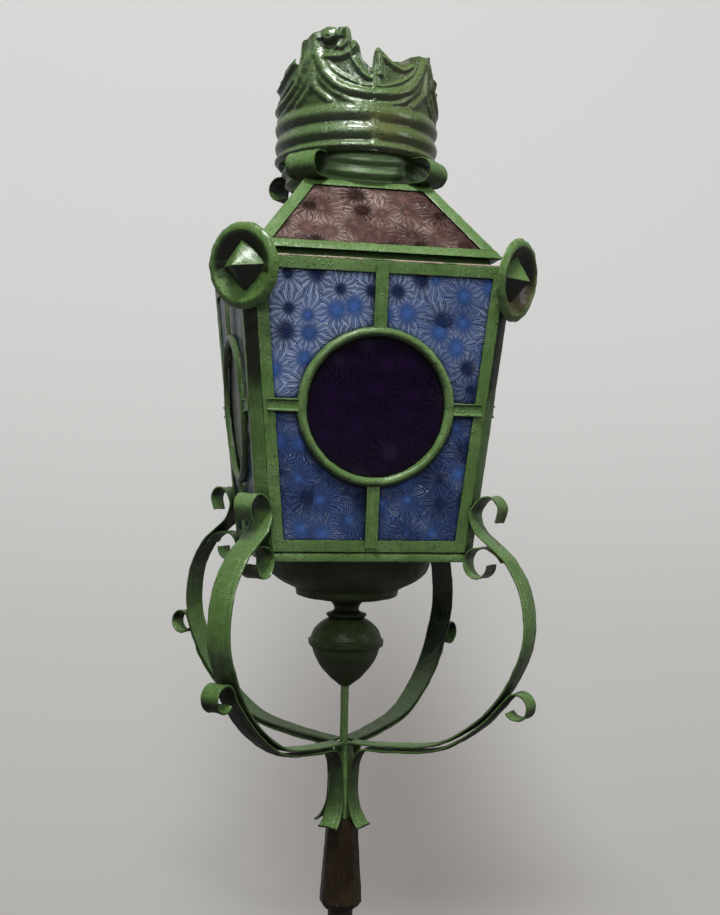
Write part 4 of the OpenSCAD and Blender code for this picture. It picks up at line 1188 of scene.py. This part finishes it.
class LANTERN_OT_rosettes(PieceOperator, bpy.types.Operator):
    """Make the dished rosettes with notched rims and their pyramid studs"""
    bl_idname = "lantern.rosettes"
    bl_label = "Rosettes"

    def execute(self, context):
        studs = bmesh.new()
        cup = studs.verts.layers.float.new("cup")
        for corner in (0, 3):
            z = BODY_TOP - 9
            facing = Matrix.Rotation(math.radians(90) + POST_LEAN, 4, "Y")
            place = (corner_place(corner) @ Matrix.Translation((post_reach(z), 0, z)) @ facing
                     @ Matrix.Translation((0, 0, GAP)))
            self.dish(corner, place)
            self.stud(studs, place)
        # The studs carry the cup mark, so their lower faces get painted shade and dirt.
        for v in studs.verts:
            v[cup] = 1.0
        piece(studs, "rosette_studs", "lantern", "rosette_cup_green", "pyramid_studs",
              (0.3, 5, 66))
        return {"FINISHED"}

    def dish(self, corner, place):
        """Make a dish, deeper and brown inside at the right corner."""
        right = corner == 0
        notch, deep = mm(sizes().rim_notch), mm(sizes().dish_depth) * (1.5 if right else 1)
        front, back, foot_r, pole_r = 2.2, 0.6, 6, 0.01
        crest = deep + front

        def dished(r, flat_r):
            return deep * (max(r - flat_r, 0) / 20.5) ** 2.2
        profile = [(r, front + dished(r, 8)) for r in (pole_r, 6, *range(9, 28, 2))]
        profile += curve_through([(28.2, crest), (30.4, crest - 0.2), (32.8, crest - 1.6),
                                  (34.3, crest - 3.4), (34.6, crest - 4.4), (33.8, crest - 4.7)], 4)
        profile += curve_through([(32.8, crest - 3.6), (30.8, crest - 2.2), (28.6, crest - 1.9)], 3)
        profile += [(r, back + dished(r, 8.6)) for r in range(26, 8, -3)]
        profile += [(foot_r, back), (foot_r, 0), (pole_r, 0)]
        bm = bmesh.new()
        cup = bm.verts.layers.float.new("cup")
        rusty = bm.verts.layers.float.new("rusty")
        lathe(bm, profile, 144)
        for v in bm.verts:
            r, a = math.hypot(v.co.x, v.co.y), math.atan2(v.co.y, v.co.x)
            # The cup mark, inside the rim, sets where painted shade and dirt go on faces that face down.
            v[cup] = min(1.0, max(0.0, (28.6 - r) / 2.5))
            v[rusty] = v[cup] if right else 0.0
            uneven = noise.noise(Vector((4 * math.cos(a), 4 * math.sin(a), corner)))
            dent = noise.noise(Vector((14 * math.cos(a), 14 * math.sin(a), corner)))
            v.co *= 1 + 0.03 * (uneven + 0.5 * dent) * min(1, max(0, r - 28) / 5)
            v.co.z -= notch * max(0.0, dent) * min(1, max(0, r - 29) / 2)
        bmesh.ops.transform(bm, matrix=place, verts=bm.verts)
        name = CORNERS[corner]
        piece(bm, "rosette_" + name, "lantern", "rosette_cup_green", "rosette_dish_" + name,
              (0.35, 6, 60 + corner), angle=60)

    def stud(self, bm, place):
        low, tall, rows = 2.7, 17, 24
        rings = []
        for k in range(rows + 1):
            half = mm(sizes().stud_half) / math.sqrt(2) * (1 - k / rows) + 0.05
            outline = rounded(square(half), 1.4)
            halved = [a.lerp(b, f) for a, b in zip(outline, outline[1:] + outline[:1]) for f in (0, 0.5)]
            rings.append(lifted(halved, low + tall * k / rows, place @ turn_z(45)))
        loft(bm, rings)


class LANTERN_OT_roof(PieceOperator, bpy.types.Operator):
    """Make the roof's eave, hips, top frame and panes"""
    bl_idname = "lantern.roof"
    bl_label = "Roof"

    def execute(self, context):
        edge, lump = mm(sizes().edge_round), mm(sizes().paint_lump)
        sheet = SHEET / math.sin(ROOF_PITCH)
        top, lap, inner = EAVE + 7.5, EAVE + SHEET, EAVE_HALF - 14
        low, deck, hole = ROOF_TOP - 6, ROOF_TOP - SHEET, 44
        for name, node, profile in (
                ("eave_strip", "eave_frame", [
                    (EAVE_HALF, EAVE), (roof_half(top), top), (roof_half(top) - sheet, top),
                    (roof_half(lap) - sheet, lap), (inner, lap), (inner, EAVE)]),
                ("roof_top_strip", "roof_top_frame", [
                    (roof_half(low), low), (ROOF_TOP_HALF, ROOF_TOP), (hole, ROOF_TOP), (hole, deck),
                    (roof_half(deck) - sheet, deck), (roof_half(low) - sheet, low)])):
            bm = bmesh.new()
            loft(bm, square_rings(rounded(profile, edge), 0, 60), closed=True)
            piece(bm, name, "lid", "brushed_green", node, (lump, 8, len(name)))
        bm = bmesh.new()
        start, end = top + GAP, low - GAP
        for corner in range(4):
            rings = []
            for k in range(31):
                z = start + (end - start) * k / 30
                h = roof_half(z)
                w, t = h - 12, h - sheet
                outline = rounded([(w, h), (w, t), (t, t), (t, w), (h, w), (h, h)], edge)
                rings.append(lifted(outline, z, turn_z(90 * corner)))
            loft(bm, rings)
        piece(bm, "hip_strips", "lid", "brushed_green", "roof_hips", (lump, 7, 70))
        for side, name in enumerate(SIDES):
            self.roof_pane(side, name)
        return {"FINISHED"}

    def roof_pane(self, side, name):
        (near, low), (far, high) = ((roof_half(z) - 8, (z - EAVE) / math.sin(ROOF_PITCH))
                                    for z in (EAVE + 5.1, ROOF_TOP - 3.6))
        place = (turn_z(90 * side) @ Matrix.Translation((0, -EAVE_HALF, EAVE))
                 @ Matrix.Rotation(ROOF_PITCH, 4, "X"))
        bm = bmesh.new()
        pane(bm, [(-near, low), (near, low), (far, high), (-far, high)], place, side)
        glass_piece(bm, "roof_glass_" + name, "lid", "brown_star_glass", "roof_pane_" + name)


class LANTERN_OT_hinge(PieceOperator, bpy.types.Operator):
    """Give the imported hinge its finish"""
    bl_idname = "lantern.hinge"
    bl_label = "Hinge"

    def execute(self, context):
        for node, material in (("hinge_body_leaf", "brushed_green"), ("hinge_lid_leaf", "brushed_green"),
                               ("hinge_pin", "worn_steel")):
            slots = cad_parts[node].data.materials
            slots.clear()
            slots.append(finish(material))
        return {"FINISHED"}


# Folds of the collar, as height above the roof and distance from the axis
COLLAR_FOLDS = [(-10, 57), (0, 57.5), (2, 60), (4, 63), (6, 63.8), (11, 62.6), (12.5, 63.6), (14, 66),
                (16, 67), (21, 65.6), (33, 63)]


class LANTERN_OT_crown_collar(PieceOperator, bpy.types.Operator):
    """Make the ribbed collar and the four wide scrolls under the crown"""
    bl_idname = "lantern.crown_collar"
    bl_label = "Crown Collar"

    def execute(self, context):
        self.collar()
        self.scrolls()
        return {"FINISHED"}

    def collar(self):
        """Make the collar, with folds in the middle of each side and a plain tube between them."""
        tube, tall, rows = 54, 32, 48
        folds = list(zip(*curve_through(COLLAR_FOLDS, 6)))
        bm = bmesh.new()
        lathe(bm, [(tube, ROOF_TOP + GAP + tall * k / rows) for k in range(rows + 1)], 192)
        for v in bm.verts:
            off = abs((math.degrees(math.atan2(v.co.x, -v.co.y)) + 45) % 90 - 45) / 45
            height = v.co.z - ROOF_TOP - 9 * off ** 2
            v.co.xy *= mix(np.interp(height, *folds), tube, off ** 3) / tube
        thicken(bm, 1.6)
        piece(bm, "collar_ribs", "lid", "collar_chalky_green", "crown_collar", (0.3, 6, 80),
              angle=60)

    def scrolls(self):
        half = 10.55
        mid = Vector((87 - half - 0.75, ROOF_TOP + 11.5))
        bend = [math.radians(a) for a in range(-90, 91, 10)]
        path = [mid + half * Vector((math.cos(a), math.sin(a))) for a in bend]
        path = [mid + Vector((-12, -half))] + path + [mid + Vector((-9, half))]
        path = evenly(path, 1.6)[::-1]
        section = strap_section(1.5, 0.4, 0.6)
        bm = bmesh.new()
        for corner in range(4):
            # The scrolls' hollow side gets three times the weight of painted shade.
            strap(bm, path, [(0, 30)], section, corner_place(corner), dirt=3.0)
        piece(bm, "collar_scrolls", "lid", "strap_green", "crown_scrolls", (0.35, 7, 81))


# Broken upper edge of the crown, as degrees from the front and height above the bands
CROWN_EDGE = [
    (-180, 38), (-160, 42), (-145, 55), (-132, 58), (-115, 41), (-95, 34), (-83, 32.5), (-77, 38), (-72, 40),
    (-63, 44), (-60.5, 38), (-58.5, 37), (-56.8, 40), (-55.8, 54), (-54.5, 57.5), (-51, 57.5), (-41, 61.5),
    (-36, 64), (-19, 63.3), (-17.2, 60), (-16.2, 52.5), (-13, 50.5), (-10.4, 46), (-9, 36.5), (-6, 32.5),
    (-3, 29.5), (-1.2, 29), (-0.2, 43.5), (1, 46), (2.6, 46.6), (6.7, 42.8), (13.2, 36.6), (20, 37.6),
    (30, 44.6), (37.3, 47.8), (44.4, 48.3), (50, 51), (53.5, 53), (54.8, 46), (56.2, 36), (57.2, 33),
    (62, 36.5), (68, 34.5), (73, 28), (82, 29), (98, 38.5), (118, 46), (132, 54), (146, 51), (162, 41),
    (180, 38)]


def both_sides(half):
    """Line through points of one half and the same points on the other side."""
    return [(-x, z) for x, z in half] + [(x, z) for x, z in reversed(half) if x]


# Ridges: half width, height as a share of the relief, and points of degrees and height above the bands.
# The first ones are on every face, the next only on the plain faces and the last only at the front
FACE_RIDGES = [
    (4.6, 1.0, both_sides([(42, 42), (35.6, 26.7), (28, 16), (19.5, 10.2), (10, 7.6), (0, 6.8)])),
    (3.0, 0.5, both_sides([(45, 37), (39, 22), (31, 11.2), (22, 4), (14, -0.5), (0, -2)])),
    (1.9, 0.5, both_sides([(34, 37), (30, 29), (22, 21.5), (14, 16.5), (6, 13.5)])),
    (4.8, 0.8, [(46, 60), (46, 40), (45, 16)]),
    (2.8, 0.5, [(45, 16), (38, 8), (31, 1)]),
    (2.8, 0.5, [(45, 16), (52, 8), (59, 1)]),
]
PLAIN_FACE_RIDGES = [
    (2.6, 0.7, both_sides([(32, 44), (20, 34), (8, 27), (0, 25)])),
]
FRONT_RIDGES = [
    (2.8, 0.75, [(-35, 39), (-22.6, 39), (-15, 45.5), (-13.5, 50)]),
    (2.3, 0.6, [(-14.7, 35), (-9, 25), (-3, 19.5)]),
    (2.6, 0.75, [(1.5, 46), (3.6, 36), (4.2, 24)]),
    (2.2, 0.55, [(6.8, 39), (14, 33), (22.4, 31), (30, 36)]),
    (2.0, 0.8, [(-26.7, 47), (-24.6, 56), (-23.4, 62)]),
    (2.0, 0.8, [(-22.4, 46), (-19.2, 53), (-19.6, 62)]),
    (3.4, 0.5, [(0.5, -41), (0.7, -20), (0.2, 0), (0.8, 14), (0.6, 28)]),
]


class LANTERN_OT_crown(PieceOperator, bpy.types.Operator):
    """Make the embossed crown with its rolled bands, swags and broken edge"""
    bl_idname = "lantern.crown"
    bl_label = "Crown"

    def execute(self, context):
        upper_rows = 62
        rows = [low + (high - low) * f for low, high in zip(BANDS, BANDS[1:])
                for f in (0, 0.06, 0.16, 0.3, 0.5, 0.7, 0.84, 0.94)]
        rows += [BAND_TOP + CROWN_UPPER * k / upper_rows for k in range(upper_rows + 1)]
        bm = bmesh.new()
        lathe(bm, [(CROWN_R, z) for z in rows], 336)
        layer = bm.verts.layers.float.new("relief_height")
        verts = bm.verts[:]
        angle = np.array([math.degrees(math.atan2(v.co.x, -v.co.y)) for v in verts])
        height = np.array([v.co.z for v in verts])
        share = np.clip((height - BAND_TOP) / CROWN_UPPER, 0, 1)
        edge = np.interp(angle, *zip(*CROWN_EDGE))
        above = np.where(height > BAND_TOP, share * edge, height - BAND_TOP)
        for v, a, up, rise in zip(verts, np.radians(angle), above, self.relief(angle, above)):
            r = CROWN_R + mm(sizes().relief) * rise
            v.co = (r * math.sin(a), -r * math.cos(a), CROWN + BAND_TOP + up)
            v[layer] = rise
        thicken(bm, 1.6)
        piece(bm, "crown_embossed", "lid", "crown_hollow_green", "crown", (0.35, 5, 90),
              angle=70)
        return {"FINISHED"}

    def relief(self, angle, above):
        """Height of the relief at each angle and height above the bands, as a share."""
        bump = np.zeros_like(angle)
        for low, high in zip(BANDS, BANDS[1:]):
            f = np.clip((above + BAND_TOP - low) / (high - low), 0, 1)
            roll = 0.5 - 0.5 * np.cos(2 * np.pi * f ** 0.9)
            bump = np.maximum(bump, 0.85 * roll ** 0.75 * (above < 0))
        face = np.round(angle / 90)
        from_face = angle - 90 * face
        for turn in (-90, 0, 90):
            for ridge in FACE_RIDGES:
                bump = np.maximum(bump, self.ridge(from_face + turn, above, *ridge))
        for ridge in PLAIN_FACE_RIDGES:
            bump = np.maximum(bump, (face != 0) * self.ridge(from_face, above, *ridge))
        for ridge in FRONT_RIDGES:
            bump = np.maximum(bump, self.ridge(angle, above, *ridge))
        return self.seam(angle, above, self.boss(angle, above, bump))

    def boss(self, angle, above, bump):
        """Add the round boss at the front's left peak and the groove below it."""
        level, radius = 58.5, 7
        away = np.hypot(np.radians(angle + 32) * CROWN_R, above - level)
        dome = 1.25 * np.sqrt(np.clip(1 - (away / radius) ** 4, 0, 1))
        dome -= 0.3 * np.exp(-((away - 4) / 1.1) ** 2)
        bump = np.where(away < radius, np.maximum(bump, dome + 0.06 * (level - above)), bump)
        return bump - 0.7 * np.exp(-((away - 10) / 2.2) ** 2) * (above < 55) * (np.abs(angle + 33) < 12)

    def seam(self, angle, above, bump):
        """Roughen the soldered seam at the front."""
        rough = np.array([noise.noise(Vector((a * 0.55, u * 0.45, 3.0))) for a, u in zip(angle, above)])
        return bump + 0.16 * rough * (np.abs(angle - 0.5) < 4.5)

    def ridge(self, angle, above, width, tall, points):
        """Soft ridge along a line of degrees and height, half its height at about its half width."""
        line = np.array([[math.radians(p[0]) * CROWN_R, p[1]] for p in curve_through(points, 5)])
        across = np.radians(angle) * CROWN_R
        near = np.full(angle.shape, 1e9)
        for a, b in zip(line, line[1:]):
            run = b - a
            t = np.clip(((across - a[0]) * run[0] + (above - a[1]) * run[1]) / (run @ run), 0, 1)
            near = np.minimum(near, np.hypot(across - a[0] - t * run[0], above - a[1] - t * run[1]))
        return tall * (0.5 + 0.5 * np.cos(np.pi * np.clip(near / (1.8 * width), 0, 1)))


CUP_FOOT = 313.9
CUP_PAN = 326.9
CUP_FLOOR = 329.9
CANDLE_LOW = CUP_FLOOR + 0.3


class LANTERN_OT_candle(PieceOperator, bpy.types.Operator):
    """Make the candle cup, the drip pan, the candle and its wick"""
    bl_idname = "lantern.candle"
    bl_label = "Candle"

    def execute(self, context):
        foot, pan, floor = CUP_FOOT, CUP_PAN, CUP_FLOOR
        self.spun("cup_brass", "candle_cup", 96, (0.12, 6, 100), [
            (3.8, foot), (17.3, foot), (17.5, foot + 1), (17.2, foot + 2), (11, foot + 4.6), (9.3, foot + 6),
            (9.3, pan - 4), (11, pan - 2.6), (16.3, pan - 1), (16.3, pan), (13.3, pan), (13.3, floor + 19),
            (14.1, floor + 20), (14.3, floor + 21), (13.7, floor + 22), (11.5, floor + 22),
            (11.4, floor + 20), (11.4, floor), (3.8, floor)])
        base = pan + GAP
        self.spun("pan_brass", "drip_pan", 120, (0.15, 9, 101), [
            (13.5, base), (29, base), (32, base + 1.8), (34, base + 4.6), (34.2, base + 5.4),
            (33.2, base + 5.6), (32.5, base + 5), (30.6, base + 2.8), (28.1, base + 1.5), (13.5, base + 1.5)])
        self.candle()
        self.wick()
        return {"FINISHED"}

    def spun(self, name, node, steps, lump, profile):
        bm = bmesh.new()
        lathe(bm, profile, steps, loop=True)
        piece(bm, name, "lantern", "stained_brass", node, lump)

    def candle(self):
        """Make the candle with a hollow top and drips that run down three sides."""
        low, radius = CANDLE_LOW, 11
        bm = bmesh.new()
        lathe(bm, [(0, low), (10.9, low), (radius, low + 0.6)] + [(radius, low + z) for z in range(3, 124, 3)]
              + [(10.7, low + 125), (9.4, low + 127), (8, low + 127.4), (6.5, low + 126.6), (4, low + 125.8),
                 (1.3, low + 125.6), (1.3, low + 121), (0, low + 121)], 96)
        for v in bm.verts:
            above = v.co.z - CUP_FLOOR - 24
            if above > 0 and math.hypot(v.co.x, v.co.y) > 10:
                a = math.atan2(v.co.y, v.co.x)
                drip = max(0.0, math.cos(3 * a + 1.3 * math.sin(a * 2) + above * 0.01)) ** 6
                v.co.xy *= 1 + 0.07 * drip * min(1, above / 40)
        piece(bm, "candle_drips", "candle", "candle_wax", "candle", (0.15, 8, 102))

    def wick(self):
        """Make the wick, three strands twisted as they rise and leaning over."""
        low, rows = CANDLE_LOW + 121.2, 18
        rings = []
        for k in range(rows + 1):
            lean = 0.9 * (k / rows) ** 2
            ring = []
            for j in range(12):
                a = math.tau * j / 12
                r = 0.92 + 0.1 * math.cos(3 * a)
                ring.append(Vector((lean + r * math.cos(a + k * 0.5), r * math.sin(a + k * 0.5), low + k)))
            rings.append(ring)
        bm = bmesh.new()
        loft(bm, rings)
        piece(bm, "wick_twist", "candle", "charred_cord", "wick")


class LANTERN_PT_sidebar(bpy.types.Panel):
    """Lists the lantern's sizes, colours and pieces"""
    bl_idname = "LANTERN_PT_sidebar"
    bl_label = "Processional Lantern"
    bl_space_type = "VIEW_3D"
    bl_region_type = "UI"
    bl_category = "Lantern"

    def draw(self, context):
        for settings in (sizes(), colours()):
            for title in settings.__annotations__:
                self.layout.prop(settings, title)
        for operator in OPERATORS:
            self.layout.operator(operator.bl_idname)


OPERATORS = (LANTERN_OT_stage, LANTERN_OT_pole_end, LANTERN_OT_arms, LANTERN_OT_stem,
             LANTERN_OT_body_frame, LANTERN_OT_glazing, LANTERN_OT_rosettes, LANTERN_OT_roof,
             LANTERN_OT_hinge, LANTERN_OT_crown_collar, LANTERN_OT_crown, LANTERN_OT_candle)
CLASSES = (LanternSizes, LanternColours) + OPERATORS + (LANTERN_PT_sidebar,)


def register():
    for cls in CLASSES:
        bpy.utils.register_class(cls)
    bpy.types.Scene.lantern_sizes = bpy.props.PointerProperty(type=LanternSizes)
    bpy.types.Scene.lantern_colours = bpy.props.PointerProperty(type=LanternColours)


def unregister():
    del bpy.types.Scene.lantern_colours
    del bpy.types.Scene.lantern_sizes
    for cls in reversed(CLASSES):
        bpy.utils.unregister_class(cls)


def main():
    register()
    for operator in OPERATORS:
        module, name = operator.bl_idname.split(".")
        getattr(getattr(bpy.ops, module), name)()


if __name__ == "__main__":
    main()
